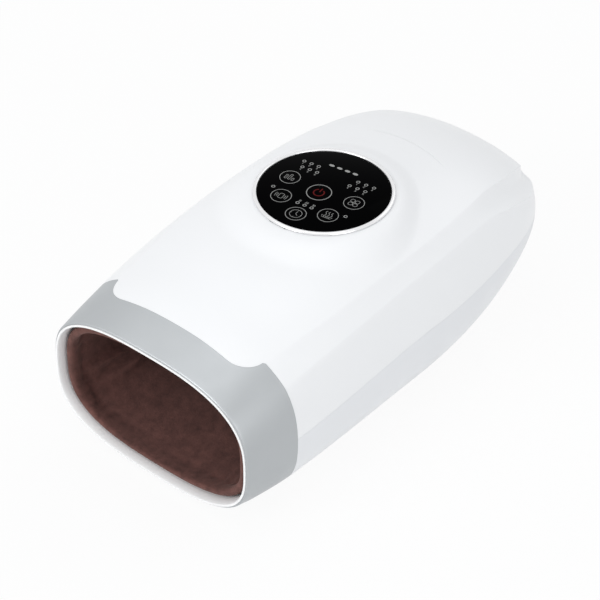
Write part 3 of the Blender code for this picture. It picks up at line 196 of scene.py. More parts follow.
def ease(share):
    share = np.clip(share, 0, 1)
    return share * share * (3 - 2 * share)


def mix(start, end, share):
    return start + (end - start) * share


def between(value, start, end):
    return (value - start) / (end - start)


# The body's surface


def tail_share(y, start, inset, power):
    travelled = np.clip(between(y, start, TAIL - inset), 0, 1)
    return np.maximum(1 - travelled**power, 0) ** (1 / power)


def lead_share(y, start, power):
    return np.clip(between(y, start, MOUTH), 0, None) ** power


def middle_height(y):
    front = mix(OPENING_CENTRE, WIDEST_HEIGHT, ease(between(y, MOUTH, 0)))
    return front + (TAIL_HEIGHT - WIDEST_HEIGHT) * ease(y / TAIL)


def base_line(y):
    return mix(MOUTH_BASE, BASE, ease(between(y, MOUTH, MOUTH + BASE_LEAD)))


def side_reach(y, inset):
    width = mix(HALF_WIDTH, MOUTH_HALF, lead_share(y, WIDEST_PLACE, SIDE_LEAD_POWER))
    return (width - inset) * tail_share(y, WIDEST_PLACE, inset, SIDE_POWER)


def top_reach(y, inset):
    top = mix(CROWN, MOUTH_TOP, lead_share(y, CROWN_PLACE, CROWN_LEAD_POWER))
    return (top - middle_height(y) - inset) * tail_share(y, CROWN_PLACE, inset, CROWN_FALL_POWER)


def base_reach(y, inset):
    drop = CORNER_DROP * ease(between(y, MOUTH, MOUTH + CORNER_LEAD))
    depth = middle_height(y) - base_line(y) + drop - inset
    return depth * tail_share(y, LIFT_START, inset, LIFT_POWER)


def section_powers(y):
    rear = ease(y / SECTION_CHANGE_END)
    return TOP_SECTION_POWER + TOP_SECTION_GAIN * rear, BASE_SECTION_POWER - BASE_SECTION_LOSS * rear


def section_point(y, angle, inset):
    top_power, base_power = section_powers(y)
    across = np.cos(angle)
    up = np.sin(angle)
    power = np.where(up >= 0, top_power, base_power)
    x = side_reach(y, inset) * np.sign(across) * np.abs(across) ** (2 / power)
    reach = np.where(up >= 0, top_reach(y, inset), -base_reach(y, inset))
    z = middle_height(y) + reach * np.abs(up) ** (2 / power)
    floor = np.minimum(base_line(y) + inset, middle_height(y))
    return x, np.where(up < 0, np.maximum(z, floor), z)


def past(y, place):
    return np.maximum(y - place, 0)


def crease_angles(y):
    """Where a flank's two creases lie on the section: drawn in past the middle, lower toward the tail."""
    top_power, _ = section_powers(y)
    upper = UPPER_CREASE_SHARE - UPPER_CREASE_BEND_SHARE * between(y, *UPPER_CREASE_RUN) ** 2
    upper = upper + UPPER_CREASE_FALL * past(y, UPPER_CREASE_TURN) ** CREASE_FALL_POWER
    upper = upper + UPPER_CREASE_DIP * past(y, UPPER_CREASE_DIP_START) ** 2
    upper = np.minimum(upper, UPPER_CREASE_LAST_SHARE)
    lower = LOWER_CREASE_SHARE - LOWER_CREASE_BEND_SHARE * between(y, *LOWER_CREASE_RUN) ** 2
    lower = lower + LOWER_CREASE_FALL * past(y, LOWER_CREASE_TURN) ** CREASE_FALL_POWER
    lower = np.minimum(lower, LOWER_CREASE_LAST_SHARE)
    return np.arccos(upper ** (top_power / 2)), np.arccos(lower ** (top_power / 2))


def seam_angle(y):
    top_power, _ = section_powers(y)
    rise = SEAM_RISE_SHARE * ease(between(y, *SEAM_RISE_RUN))
    return np.arcsin(rise ** (top_power / 2))


def swelled(x, y, z, inset):
    """The top rises round the panel's ring like a low skirt, which runs out behind it on an arc."""
    off_y = y - PANEL_PLACE
    distance = np.hypot(x, off_y)
    turn = off_y / np.maximum(distance, 1e-6)
    ring = PANEL_RADIUS + RING_FLANGE
    foot = mix(SWELL_FRONT, SWELL_REAR, ease(between(turn, -1.0, 0.0)))
    broad = 1 - ease(between(distance, ring, foot))
    skirt = mix(SKIRT_FOOT, SKIRT_REAR, ease(between(turn, *SKIRT_TURN)))
    share = mix(broad, 1 - ease(between(distance, ring, skirt)), SKIRT_SHARE)
    rise_share = (z - middle_height(y)) / (top_reach(y, inset) + 1e-6)
    share = share * ease(between(rise_share, SWELL_START_SHARE, SWELL_FULL_SHARE))
    return mix(z, PLATEAU - inset, share)


def upper_point(y, angle, inset):
    """A point of the upper skin: an even top, a facet along each flank, scooped behind, and a flat side."""
    x, z = section_point(y, angle, inset)
    upper_crease, lower_crease = crease_angles(y)
    flank_angle = np.minimum(angle, math.pi - angle)
    side = np.where(angle > QUARTER, -1, 1)
    x_high, z_high = section_point(y, upper_crease, inset)
    x_low, z_low = section_point(y, lower_crease, inset)
    x_seam, z_seam = section_point(y, seam_angle(y), inset)
    lead_in = ease(between(y, MOUTH + FACET_START, MOUTH + FACET_FULL))
    fade = 1 - ease(between(y, FACET_FADE, FACET_END))
    along = np.clip(between(flank_angle, lower_crease, upper_crease), 0, 1)
    chord = np.hypot(x_low - x_high, z_high - z_low) + 1e-6
    hollow = SCOOP * ease(between(y, SCOOP_START, SCOOP_FULL)) * fade * np.sin(math.pi * along)
    facet_x = mix(x_low, x_high, along) - hollow * (z_high - z_low) / chord
    facet_z = mix(z_low, z_high, along) - hollow * (x_low - x_high) / chord
    crown = middle_height(y) + top_reach(y, inset)
    even_z = crown - (crown - z_high) * np.clip(np.abs(x) / (x_high + 1e-6), 0, 1) ** TOP_POWER
    rise = np.clip(between(z, z_seam, z_low + 1e-6), 0, 1)
    flat_x = x_seam - (x_seam - x_low) * rise**FLANK_POWER
    on_facet = (flank_angle > lower_crease) & (flank_angle < upper_crease)
    on_top = flank_angle >= upper_crease
    share = lead_in * fade
    new_x = np.where(on_facet, facet_x, np.where(on_top, np.abs(x), flat_x))
    new_z = np.where(on_facet, facet_z, np.where(on_top, even_z, z))
    x = mix(x, side * new_x, share)
    z = mix(z, new_z, share)
    return np.stack([x, y + 0 * x, swelled(x, y, z, inset)], axis=-1)


def lower_point(y, angle, inset):
    x, z = section_point(y, angle, inset)
    return np.stack([x, y + 0 * x, z], axis=-1)


def collar_edge(share):
    """Y of the collar's rear edge over the top: the shoulder, the ear's hook and the bow between them."""
    ear = MOUTH + COLLAR_EAR
    valley = MOUTH + COLLAR_VALLEY
    inward = np.clip(between(share, VALLEY_SHARE, EAR_SHARE), 0, 1)
    hook = mix(valley, ear, 1 - (1 - inward**HOOK_POWER) ** (1 / HOOK_POWER))
    bow = mix(valley, MOUTH + COLLAR_MIDDLE, ease(between(share, VALLEY_SHARE, 1)))
    shoulder = mix(MOUTH + COLLAR_SHOULDER, ear, np.clip(between(share, 0, EAR_SHARE), 0, 1))
    return np.where(share > VALLEY_SHARE, bow, np.where(share > EAR_SHARE, hook, shoulder))


# Mesh builders

LATHE_FACETS = 192
SHELL_ROWS = 190
OVAL_FACETS = 288


def new_object(name, mesh, look):
    mesh.materials.append(look)
    made = bpy.data.objects.new(name, mesh)
    bpy.context.scene.collection.objects.link(made)
    return made


def from_points(name, points, faces, look, sharp=40):
    mesh = bpy.data.meshes.new(name)
    mesh.from_pydata([tuple(p) for p in points], [], faces)
    form = bmesh.new()
    form.from_mesh(mesh)
    bmesh.ops.remove_doubles(form, verts=form.verts, dist=1e-6)
    bmesh.ops.dissolve_degenerate(form, edges=form.edges, dist=1e-6)
    bmesh.ops.recalc_face_normals(form, faces=form.faces)
    form.to_mesh(mesh)
    form.free()
    mesh.shade_smooth()
    mesh.set_sharp_from_angle(angle=math.radians(sharp))
    return new_object(name, mesh, look)


def grid_faces(rows, columns, wrap_rows=False, wrap_columns=False):
    faces = []
    for row in range(rows if wrap_rows else rows - 1):
        below = ((row + 1) % rows) * columns
        here = row * columns
        for column in range(columns if wrap_columns else columns - 1):
            right = (column + 1) % columns
            faces.append((here + column, here + right, below + right, below + column))
    return faces


def between_sheets(name, outer, inner, look, keep=None):
    """The solid between two grids, without the cells that keep turns down."""
    rows, columns, _ = outer.shape
    lower = rows * columns
    sheet = grid_faces(rows, columns)
    if keep is not None:
        sheet = [face for face in sheet if keep(outer.reshape(-1, 3)[list(face)].mean(axis=0))]
    faces = sheet + [tuple(index + lower for index in face) for face in sheet]
    for row in (0, rows - 1):
        for column in range(columns - 1):
            start = row * columns + column
            end = start + 1
            faces.append((start, end, lower + end, lower + start))
    for column in (0, columns - 1):
        for row in range(rows - 1):
            start = row * columns + column
            end = start + columns
            faces.append((start, end, lower + end, lower + start))
    return from_points(name, np.concatenate([outer.reshape(-1, 3), inner.reshape(-1, 3)]), faces, look)


def ring_of_loops(name, loops, look):
    rows, columns, _ = loops.shape
    return from_points(name, loops.reshape(-1, 3), grid_faces(rows, columns, True, True), look)


def lathe(name, profile, look):
    """A turned solid about the panel's axis, of (radius, height) points."""
    closed = profile[0][0] > 0
    ring = profile if closed else profile[1:-1]
    angles = np.linspace(0, 2 * math.pi, LATHE_FACETS, endpoint=False)
    across, along = np.cos(angles), np.sin(angles)
    loops = np.array([
        np.stack([radius * across, PANEL_PLACE + radius * along, height + 0 * angles], axis=-1)
        for radius, height in ring
    ])
    rows = len(ring)
    faces = grid_faces(rows, LATHE_FACETS, closed, True)
    if not closed:
        faces += [tuple(range(LATHE_FACETS)), tuple(range((rows - 1) * LATHE_FACETS, rows * LATHE_FACETS))]
    return from_points(name, loops.reshape(-1, 3), faces, look, sharp=50)


# Materials


def look(name, colour, roughness, metallic=0.0, **values):
    """A Principled material and its node tree, ready for more nodes."""
    made = bpy.data.materials.new(name)
    made.use_nodes = True
    shader = made.node_tree.nodes["Principled BSDF"]
    shader.inputs["Base Color"].default_value = (*colour, 1)
    shader.inputs["Roughness"].default_value = roughness
    shader.inputs["Metallic"].default_value = metallic
    for key, value in values.items():
        shader.inputs[key.replace("_", " ").title().replace("Ior", "IOR")].default_value = value
    return made


def add(made, kind, **values):
    node = made.node_tree.nodes.new(kind)
    for key, value in values.items():
        if key in node.inputs:
            node.inputs[key].default_value = value
        else:
            setattr(node, key, value)
    return node


def link(made, start, end):
    made.node_tree.links.new(start, end)


def shader_of(made):
    return made.node_tree.nodes["Principled BSDF"]


def place_of(made):
    """Object coordinates, which are the row frame's, in metres."""
    return add(made, "ShaderNodeTexCoord").outputs["Object"]


def noise(made, scale, detail=3.0, roughness=0.5, stretch=None):
    source = place_of(made)
    if stretch:
        mapping = add(made, "ShaderNodeMapping")
        mapping.inputs["Scale"].default_value = stretch
        link(made, source, mapping.inputs["Vector"])
        source = mapping.outputs["Vector"]
    node = add(made, "ShaderNodeTexNoise", Scale=scale, Detail=detail, Roughness=roughness)
    link(made, source, node.inputs["Vector"])
    return node.outputs["Fac"]


def ramp(made, source, stops):
    node = add(made, "ShaderNodeValToRGB")
    elements = node.color_ramp.elements
    while len(elements) < len(stops):
        elements.new(0.5)
    for element, (where, colour) in zip(elements, stops):
        element.position = where
        element.color = (*colour, 1) if len(colour) == 3 else colour
    link(made, source, node.inputs["Fac"])
    return node.outputs["Color"]


def span(made, source, low, high, out_low, out_high):
    node = add(made, "ShaderNodeMapRange")
    for key, value in (("From Min", low), ("From Max", high), ("To Min", out_low), ("To Max", out_high)):
        node.inputs[key].default_value = value
    link(made, source, node.inputs["Value"])
    return node.outputs["Result"]


def bump(made, source, strength, distance, previous=None):
    node = add(made, "ShaderNodeBump", Strength=strength, Distance=distance)
    link(made, source, node.inputs["Height"])
    if previous:
        link(made, previous, node.inputs["Normal"])
    return node.outputs["Normal"]


def moulded(name, colour, roughness, grain=0.03, vary=0.03, **values):
    """Moulded plastic: a trace of flow in its colour and gloss, and a fine skin."""
    made = look(name, colour, roughness, **values)
    shader = shader_of(made)
    flow = noise(made, 14, 2)
    low = tuple(c * (1 - vary) for c in colour)
    link(made, ramp(made, flow, ((0.3, low), (0.7, colour))), shader.inputs["Base Color"])
    rough = span(made, noise(made, 60, 3), 0.35, 0.65, roughness * 0.9, roughness * 1.12)
    link(made, rough, shader.inputs["Roughness"])
    normal = bump(made, noise(made, 1400, 2), grain, 0.0002)
    link(made, normal, shader.inputs["Normal"])
    return made


def metal(name, colour, roughness, stretch=(1, 1, 1)):
    made = look(name, colour, roughness, 1.0)
    shader = shader_of(made)
    streak = noise(made, 300, 4, stretch=stretch)
    rough = span(made, streak, 0.3, 0.7, roughness * 0.8, roughness * 1.3)
    link(made, rough, shader.inputs["Roughness"])
    link(made, bump(made, streak, 0.05, 0.0002), shader.inputs["Normal"])
    return made


# Painted light and shade on the lining: full tone near the mouth, fading dark deep in the pocket
PAINTED_LIGHT_PLACE = MOUTH + 0.006
PAINTED_SHADE_PLACE = MOUTH + 0.085
PAINTED_LIGHT_SHARE = 1.10
PAINTED_SHADE_SHARE = 0.22


def suede(name, dark, light):
    """Brushed knitted pile: mottled nap, painted shade that darkens it deeper in the pocket and painted light
    that lifts it near the mouth, a fine weave and a soft sheen.
    """
    made = look(name, dark, 0.95, sheen_weight=0.14, sheen_roughness=0.5)
    shader = shader_of(made)
    nap = noise(made, 170, 5, 0.7)
    fine = noise(made, 1500, 3, 0.7)
    tone = add(made, "ShaderNodeMath", operation="MULTIPLY_ADD")
    link(made, fine, tone.inputs[0])
    tone.inputs[1].default_value = 0.35
    link(made, span(made, nap, 0.3, 0.7, 0.0, 0.40), tone.inputs[2])
    # Painted shade: the pile's tone is scaled from lighter at the mouth to darker deep in the pocket
    parts = add(made, "ShaderNodeSeparateXYZ")
    link(made, place_of(made), parts.inputs[0])
    shaded_tone = add(made, "ShaderNodeMath", operation="MULTIPLY")
    link(made, tone.outputs[0], shaded_tone.inputs[0])
    places = (PAINTED_LIGHT_PLACE, PAINTED_SHADE_PLACE)
    painted_depth_shade = span(made, parts.outputs["Y"], *places, PAINTED_LIGHT_SHARE, PAINTED_SHADE_SHARE)
    link(made, painted_depth_shade, shaded_tone.inputs[1])
    link(made, ramp(made, shaded_tone.outputs[0], ((0.0, dark), (0.75, light))), shader.inputs["Base Color"])
    shader.inputs["Sheen Tint"].default_value = (0.75, 0.52, 0.45, 1)
    first = bump(made, fine, 0.35, 0.0004)
    link(made, bump(made, nap, 0.25, 0.0012, first), shader.inputs["Normal"])
    return made


white_look = moulded(
    "white_gloss", (0.93, 0.935, 0.945), 0.34, 0.015, 0.008, coat_weight=0.10, coat_roughness=0.25,
)
base_look = moulded(
    "base_white", (0.84, 0.85, 0.87), 0.36, 0.015, 0.008, coat_weight=0.08, coat_roughness=0.3,
)
silver_look = moulded("collar_silver", (0.47, 0.49, 0.505), 0.42, 0.03, 0.02, metallic=0.70)
rim_look = moulded("rim_pale", (0.96, 0.96, 0.96), 0.42, 0.03, 0.01)
ring_look = moulded("ring_silver", (0.82, 0.82, 0.83), 0.16, 0.01, 0.01, metallic=0.75)
glass_look = look("panel_black", (0.0012, 0.0012, 0.0014), 0.05)
shader_of(glass_look).inputs["Specular IOR Level"].default_value = 0.004
glass_rough = span(glass_look, noise(glass_look, 40), 0.3, 0.7, 0.045, 0.075)
link(glass_look, glass_rough, shader_of(glass_look).inputs["Roughness"])
print_look = moulded("print_grey", (0.31, 0.31, 0.30), 0.6, 0.05, 0.1)
led_look = moulded("led_white", (0.36, 0.36, 0.35), 0.5, 0.05, 0.08)
red_look = moulded("print_red", (0.110, 0.004, 0.004), 0.7, 0.05, 0.2)
for printed in (print_look, led_look, red_look):
    shader_of(printed).inputs["Specular IOR Level"].default_value = 0.1
lining_look = suede("lining_suede", (0.034, 0.0125, 0.0105), (0.190, 0.080, 0.066))
frame_look = moulded("frame_black", (0.03, 0.031, 0.034), 0.5, 0.10, 0.1)
pump_look = moulded("pump_grey", (0.20, 0.21, 0.23), 0.45, 0.08, 0.08)
valve_look = moulded("valve_white", (0.72, 0.72, 0.69), 0.45, 0.05, 0.05)
guide_look = moulded("guide_white", (0.85, 0.85, 0.85), 0.5, 0.05, 0.03)
board_look = moulded("board_green", (0.02, 0.15, 0.06), 0.45, 0.12, 0.25)
film_look = moulded("cell_film", (0.28, 0.30, 0.34), 0.4, 0.12, 0.1)
heater_look = moulded("heater_film", (0.05, 0.05, 0.055), 0.55, 0.12, 0.15)
steel_look = metal("steel", (0.56, 0.57, 0.58), 0.28, (1, 8, 8))
brass_look = metal("brass", (0.62, 0.45, 0.17), 0.32)
hose_look = moulded("hose_soft", (0.70, 0.73, 0.74), 0.35, 0.03, 0.05)
sleeve_look = moulded("battery_sleeve", (0.03, 0.11, 0.34), 0.32, 0.03, 0.06)
socket_look = moulded("socket_black", (0.02, 0.02, 0.022), 0.42, 0.05, 0.1)
rubber_look = moulded("foot_rubber", (0.09, 0.09, 0.095), 0.85, 0.20, 0.15)


def arc_line(made):
    """The faint moulded line on an arc behind the panel, as a dip in the skin's height."""
    shader = shader_of(made)
    off = add(made, "ShaderNodeVectorMath", operation="SUBTRACT")
    link(made, place_of(made), off.inputs[0])
    off.inputs[1].default_value = (0, PANEL_PLACE, 0)
    flat = add(made, "ShaderNodeVectorMath", operation="MULTIPLY")
    link(made, off.outputs[0], flat.inputs[0])
    flat.inputs[1].default_value = (1, 1, 0)
    reach = add(made, "ShaderNodeVectorMath", operation="LENGTH")
    link(made, flat.outputs[0], reach.inputs[0])
    away = add(made, "ShaderNodeMath", operation="SUBTRACT")
    link(made, reach.outputs["Value"], away.inputs[0])
    away.inputs[1].default_value = ARC_REACH
    width = add(made, "ShaderNodeMath", operation="ABSOLUTE")
    link(made, away.outputs[0], width.inputs[0])
    dip = span(made, width.outputs[0], 0.0, ARC_WIDTH, 1.0, 0.0)
    parts = add(made, "ShaderNodeSeparateXYZ")
    link(made, off.outputs[0], parts.inputs[0])
    turn = add(made, "ShaderNodeMath", operation="DIVIDE")
    link(made, parts.outputs["Y"], turn.inputs[0])
    link(made, reach.outputs["Value"], turn.inputs[1])
    depth = add(made, "ShaderNodeMath", operation="MULTIPLY")
    link(made, dip, depth.inputs[0])
    link(made, span(made, turn.outputs[0], *ARC_FADE, 0.0, -1.0), depth.inputs[1])
    before = shader.inputs["Normal"].links[0].from_socket
    link(made, bump(made, depth.outputs[0], 1.0, 0.0002, before), shader.inputs["Normal"])


arc_line(white_look)

slot_looks = {
    "shell_white": white_look,
    "base_white": base_look,
    "collar_silver": silver_look,
    "rim_pale": rim_look,
    "trim_silver": ring_look,
    "panel_black": glass_look,
    "guide_white": guide_look,
    "board_green": board_look,
    "lining_brown": lining_look,
    "cell_film": film_look,
    "heater_film": heater_look,
    "frame_black": frame_look,
    "pump_grey": pump_look,
    "valve_white": valve_look,
    "steel": steel_look,
    "brass": brass_look,
    "hose_clear": hose_look,
    "battery_blue": sleeve_look,
    "socket_black": socket_look,
    "foot_rubber": rubber_look,
}
for entry in frame["record"]["subparts"]:
    carried = nodes[entry["node"]]
    carried.data.materials.clear()
    carried.data.materials.append(slot_looks[entry["material_slot"]])


# Shells

FLANK_COLUMNS = 10
FACET_COLUMNS = 12
HOOK_COLUMNS = 33
BOW_COLUMNS = 36
BASE_COLUMNS = 96
HOOK_CROWDING = 2.2


def shares(count):
    """Even shares from 0 to 1, both ends included."""
    return np.linspace(0, 1, count + 1)


def crowded(front, rear, count, power=1.7):
    return mix(front, rear, 1 - (1 - np.linspace(0, 1, count)) ** power)


def column_plan():
    """Each column of the right half of the top: its kind, its share and where the collar ends on it."""
    seam, flank, shoulder = MOUTH + COLLAR_SEAM, MOUTH + COLLAR_FLANK, MOUTH + COLLAR_SHOULDER
    plan = [("flank", share, mix(seam, flank, share)) for share in shares(FLANK_COLUMNS)[:-1]]
    plan += [("facet", share, mix(flank, shoulder, share)) for share in shares(FACET_COLUMNS)[:-1]]
    hook = mix(EAR_SHARE, VALLEY_SHARE, shares(HOOK_COLUMNS) ** HOOK_CROWDING)
    bow = mix(VALLEY_SHARE, 1, shares(BOW_COLUMNS))
    across_top = np.concatenate([(0, EAR_SHARE / 2), hook[:-1], bow[:-1]])
    return plan + [("top", share, float(collar_edge(share))) for share in across_top]


PLAN = column_plan()


def column_angle(kind, share, y):
    upper_crease, lower_crease = crease_angles(y)
    if kind == "flank":
        return mix(seam_angle(y), lower_crease, share)
    if kind == "facet":
        return mix(lower_crease, upper_crease, share)
    return mix(upper_crease, QUARTER, share)


def top_columns(rows_for, inset):
    right = []
    left = []
    for kind, share, edge in PLAN:
        y = rows_for(edge)
        angle = column_angle(kind, share, y)
        right.append(upper_point(y, angle, inset))
        left.append(upper_point(y, math.pi - angle, inset))
    y = rows_for(float(collar_edge(1)))
    return right + [upper_point(y, QUARTER + 0 * y, inset)] + left[::-1]


def bottom_columns(rows_for, inset):
    y = rows_for(MOUTH + COLLAR_SEAM)
    first = math.pi - seam_angle(y)
    last = 2 * math.pi + seam_angle(y)
    return [lower_point(y, mix(first, last, share), inset) for share in shares(BASE_COLUMNS)]


def shell_grid(columns, inset, lift):
    def rows_for(edge):
        y = crowded(edge + SEAM, TAIL, SHELL_ROWS)
        return y - inset * np.clip(between(y, edge + SEAM, TAIL), 0, 1)

    grid = np.stack(columns(rows_for, inset), axis=1)
    grid[-1] = (0, TAIL - inset, TAIL_HEIGHT)
    grid[..., 2] += lift
    return grid


def outside_panel(point):
    return point[2] < OPENING_CENTRE or math.hypot(point[0], point[1] - PANEL_PLACE) > PANEL_HOLE


def band_points(share, inset, start):
    def rows_for(edge):
        return np.array([mix(start, edge, share)])

    return np.concatenate(top_columns(rows_for, inset) + bottom_columns(rows_for, inset)[1:-1])


def make_shells():
    top_sheets = [shell_grid(top_columns, inset, SEAM / 2) for inset in (0, WALL)]
    bottom_sheets = [shell_grid(bottom_columns, inset, -SEAM / 2) for inset in (0, WALL)]
    upper = between_sheets("upper_skin", *top_sheets, white_look, keep=outside_panel)
    lower = between_sheets("lower_skin", *bottom_sheets, base_look)
    for skin, node, slot in ((upper, "upper_shell", "shell_white"), (lower, "lower_shell", "base_white")):
        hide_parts(node)
        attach(skin, "housing")


def make_collar():
    front = MOUTH + COLLAR_SETBACK
    step = MOUTH + RIM_DEPTH + GAP
    loops = [band_points(share, 0, front + COLLAR_LIP) for share in shares(21)]
    loops += [band_points(share, COLLAR_WALL, step) for share in shares(7)[::-1]]
    loops += [band_points(0, COLLAR_LIP, step)]
    for turn in np.linspace(math.pi / 2, 0, 7)[:-1]:
        inset = COLLAR_LIP * (1 - math.cos(turn))
        loops.append(band_points(0, inset, front + COLLAR_LIP * (1 - math.sin(turn))))
    collar = ring_of_loops("collar_band", np.array(loops), silver_look)
    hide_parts("front_collar")
    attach(collar, "housing")


def oval_point(y, angle, half_width, half_height, centre):
    across = np.cos(angle)
    up = np.sin(angle)
    power = np.where(up >= 0, TOP_SECTION_POWER, BASE_SECTION_POWER)
    x = half_width * np.sign(across) * np.abs(across) ** (2 / power)
    z = centre + half_height * np.sign(up) * np.abs(up) ** (2 / power)
    return np.stack([x, y + 0 * x, z], axis=-1)


def make_rim():
    """The lip, with its crest near the collar, and the funnel that leads the hand in to the lining."""
    flange = RIM - COLLAR_LIP - SEAM / 2
    profile = [(RIM_STAND_OFF, RIM_SLEEVE_DEPTH)]
    for turn in np.linspace(0, math.pi / 2, 11):
        reach = mix(RIM_STAND_OFF, RIM_CREST, 1 - max(math.cos(turn), 0) ** RIM_CREST_POWER)
        profile.append((reach, RIM_FUNNEL_DEPTH * (1 - math.sin(turn) ** RIM_CREST_POWER)))
    for turn in np.linspace(math.pi / 2, 0, 6):
        reach = flange - RIM_SHOULDER * (1 - math.cos(turn))
        profile.append((reach, RIM_SHOULDER * (1 - math.sin(turn))))
    profile += [(flange, RIM_DEPTH), (RIM_SLEEVE_WALL, RIM_DEPTH), (RIM_SLEEVE_WALL, RIM_SLEEVE_DEPTH)]
    angles = np.linspace(0, 2 * math.pi, OVAL_FACETS, endpoint=False)
    loops = []
    for reach, depth in profile:
        half_width, half_height = OPENING[0] + reach, OPENING[1] + reach
        loops.append(oval_point(MOUTH + depth + 0 * angles, angles, half_width, half_height, OPENING_CENTRE))
    rim = ring_of_loops("rim_band", np.array(loops), rim_look)
    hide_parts("mouth_rim")
    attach(rim, "housing")


# Panel


def make_panel():
    inner = PANEL_RADIUS + GAP
    outer = PANEL_RADIUS + RING_FLANGE
    seat = PLATEAU + GAP * 1.5
    ring = [
        (inner, RING_TOP - RING_BEVEL),
        (inner + RING_BEVEL / 2, RING_TOP - RING_BEVEL / 6),
        (inner + RING_BEVEL, RING_TOP),
    ]
    ring += [(outer - inward, RING_TOP - down) for inward, down in RING_SLOPE]
    ring += [
        (outer, seat),
        (inner + RING_SLEEVE, seat),
        (inner + RING_SLEEVE, RING_TOP - RING_DEPTH),
        (inner, RING_TOP - RING_DEPTH),
    ]
    band = lathe("ring_band", ring, ring_look)
    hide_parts("panel_ring")
    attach(band, "housing")
    low = PANEL_TOP - GLASS_THICKNESS
    glass = [
        (0, low),
        (PANEL_RADIUS, low),
        (PANEL_RADIUS, PANEL_TOP - GLASS_BEVEL),
        (PANEL_RADIUS - GLASS_BEVEL / 4, PANEL_TOP - GLASS_BEVEL * 3 / 8),
        (PANEL_RADIUS - GLASS_BEVEL, PANEL_TOP),
        (0, PANEL_TOP),
    ]
    cover = lathe("panel_cover", glass, glass_look)
    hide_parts("touch_panel")
    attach(cover, "housing")


# Print, in millimetres on the panel's face

MM = 0.001
PRINT_TURN = math.radians(8.5)
PRINT_HEIGHT = PANEL_TOP + 0.04 * MM
KEY_RADIUS = 6.0
KEY_LINE = 0.38
ICON_LINE = 0.29
LAMP_RADIUS = 0.95
LAMP_LINE = 0.42
FIGURE_SIZE = 0.62
FIGURE_LINE = 0.2
FIGURE_STEP = 1.6
POWER_LINE = 0.75
CORNERS = ((1, 1), (-1, 1), (-1, -1), (1, -1))


def print_point(u, v):
    x = u * math.cos(PRINT_TURN) - v * math.sin(PRINT_TURN)
    y = u * math.sin(PRINT_TURN) + v * math.cos(PRINT_TURN)
    return (x * MM, PANEL_PLACE + y * MM, PRINT_HEIGHT)


def stroke(points, width, closed=False):
    """A flat ribbon along points in the print's own plane, in millimetres: (corners, faces)."""
    path = np.array(points, float)
    if closed:
        along = np.roll(path, -1, axis=0) - np.roll(path, 1, axis=0)
    else:
        along = np.gradient(path, axis=0)
    along = along / np.maximum(np.linalg.norm(along, axis=1, keepdims=True), 1e-9)
    across = np.stack([-along[:, 1], along[:, 0]], axis=1) * width / 2
    corners = np.concatenate([path + across, path - across])
    count = len(path)
    steps = count if closed else count - 1
    return corners, [(i, (i + 1) % count, count + (i + 1) % count, count + i) for i in range(steps)]


def ring_path(u, v, radius, tall=1.0, start=0.0, end=360.0, steps=40):
    """A circle, an oval or an arc between two angles in degrees."""
    closed = end - start >= 360
    angles = np.radians(np.linspace(start, end, steps, endpoint=not closed))
    return [(u + radius * math.cos(a), v + radius * tall * math.sin(a)) for a in angles]


def rounded_box(u, v, wide, tall, corner):
    path = []
    for quarter, (side_u, side_v) in enumerate(CORNERS):
        middle_u = u + side_u * (wide / 2 - corner)
        middle_v = v + side_v * (tall / 2 - corner)
        path += ring_path(middle_u, middle_v, corner, 1.0, quarter * 90, quarter * 90 + 90, 5)
    return path


def wave_path(u, v):
    turns = np.linspace(0, 2 * math.pi, 14)
    return [(u + 0.55 * math.sin(turn), v + 3.6 * turn / (2 * math.pi)) for turn in turns]


class Print:
    """Collects flat print and makes one object of it."""

    def __init__(self):
        self.points = []
        self.faces = []

    def line(self, points, width, closed=False):
        corners, faces = stroke(points, width, closed)
        first = len(self.points)
        self.points += [print_point(u, v) for u, v in corners]
        self.faces += [tuple(first + index for index in face) for face in faces]

    def patch(self, points):
        first = len(self.points)
        self.points += [print_point(u, v) for u, v in points]
        self.faces.append(tuple(range(first, first + len(points))))

    def finish(self, name, material):
        mesh = bpy.data.meshes.new(name)
        mesh.from_pydata(self.points, [], self.faces)
        form = bmesh.new()
        form.from_mesh(mesh)
        for face in form.faces:
            face.normal_update()
            if face.normal.z < 0:
                face.normal_flip()
        form.to_mesh(mesh)
        form.free()
        made = new_object(name, mesh, material)
        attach(made, "housing")


SEGMENTS = {
    "0": "abcdef", "1": "bc", "2": "abged", "3": "abgcd", "4": "fgbc", "5": "afgcd", "6": "afgedc",
}
SEGMENT_ENDS = {
    "a": ((0, 2), (1, 2)), "b": ((1, 2), (1, 1)), "c": ((1, 1), (1, 0)), "d": ((0, 0), (1, 0)),
    "e": ((0, 1), (0, 0)), "f": ((0, 2), (0, 1)), "g": ((0, 1), (1, 1)),
}


def digits(sheet, text, u, v):
    for place, figure in enumerate(text):
        left = u + place * FIGURE_SIZE * FIGURE_STEP
        for name in SEGMENTS[figure]:
            ends = [(left + x * FIGURE_SIZE, v + y * FIGURE_SIZE) for x, y in SEGMENT_ENDS[name]]
            sheet.line(ends, FIGURE_LINE)


def bars_icon(sheet, u, v):
    for offset, tall in ((-2.3, 3.6), (0.0, 5.0), (2.3, 2.2)):
        sheet.line(rounded_box(u + offset, v - 2.2 + tall / 2, 1.2, tall, 0.3), ICON_LINE, True)


def shake_icon(sheet, u, v):
    sheet.line(rounded_box(u, v, 2.7, 4.4, 0.6), ICON_LINE, True)
    for side in (-1, 1):
        for near, far, tall in ((2.4, 2.7, 1.5), (3.4, 3.8, 1.9)):
            end = u + side * near
            sheet.line([(end, v - tall), (u + side * far, v), (end, v + tall)], ICON_LINE)


def clock_icon(sheet, u, v):
    sheet.line(ring_path(u, v, 3.6), ICON_LINE, True)
    sheet.line([(u, v + 2.3), (u, v), (u + 1.5, v - 1.2)], ICON_LINE)
    for turn in range(0, 360, 90):
        across, along = math.cos(math.radians(turn)), math.sin(math.radians(turn))
        sheet.line([(u + reach * across, v + reach * along) for reach in (2.8, 3.3)], ICON_LINE)


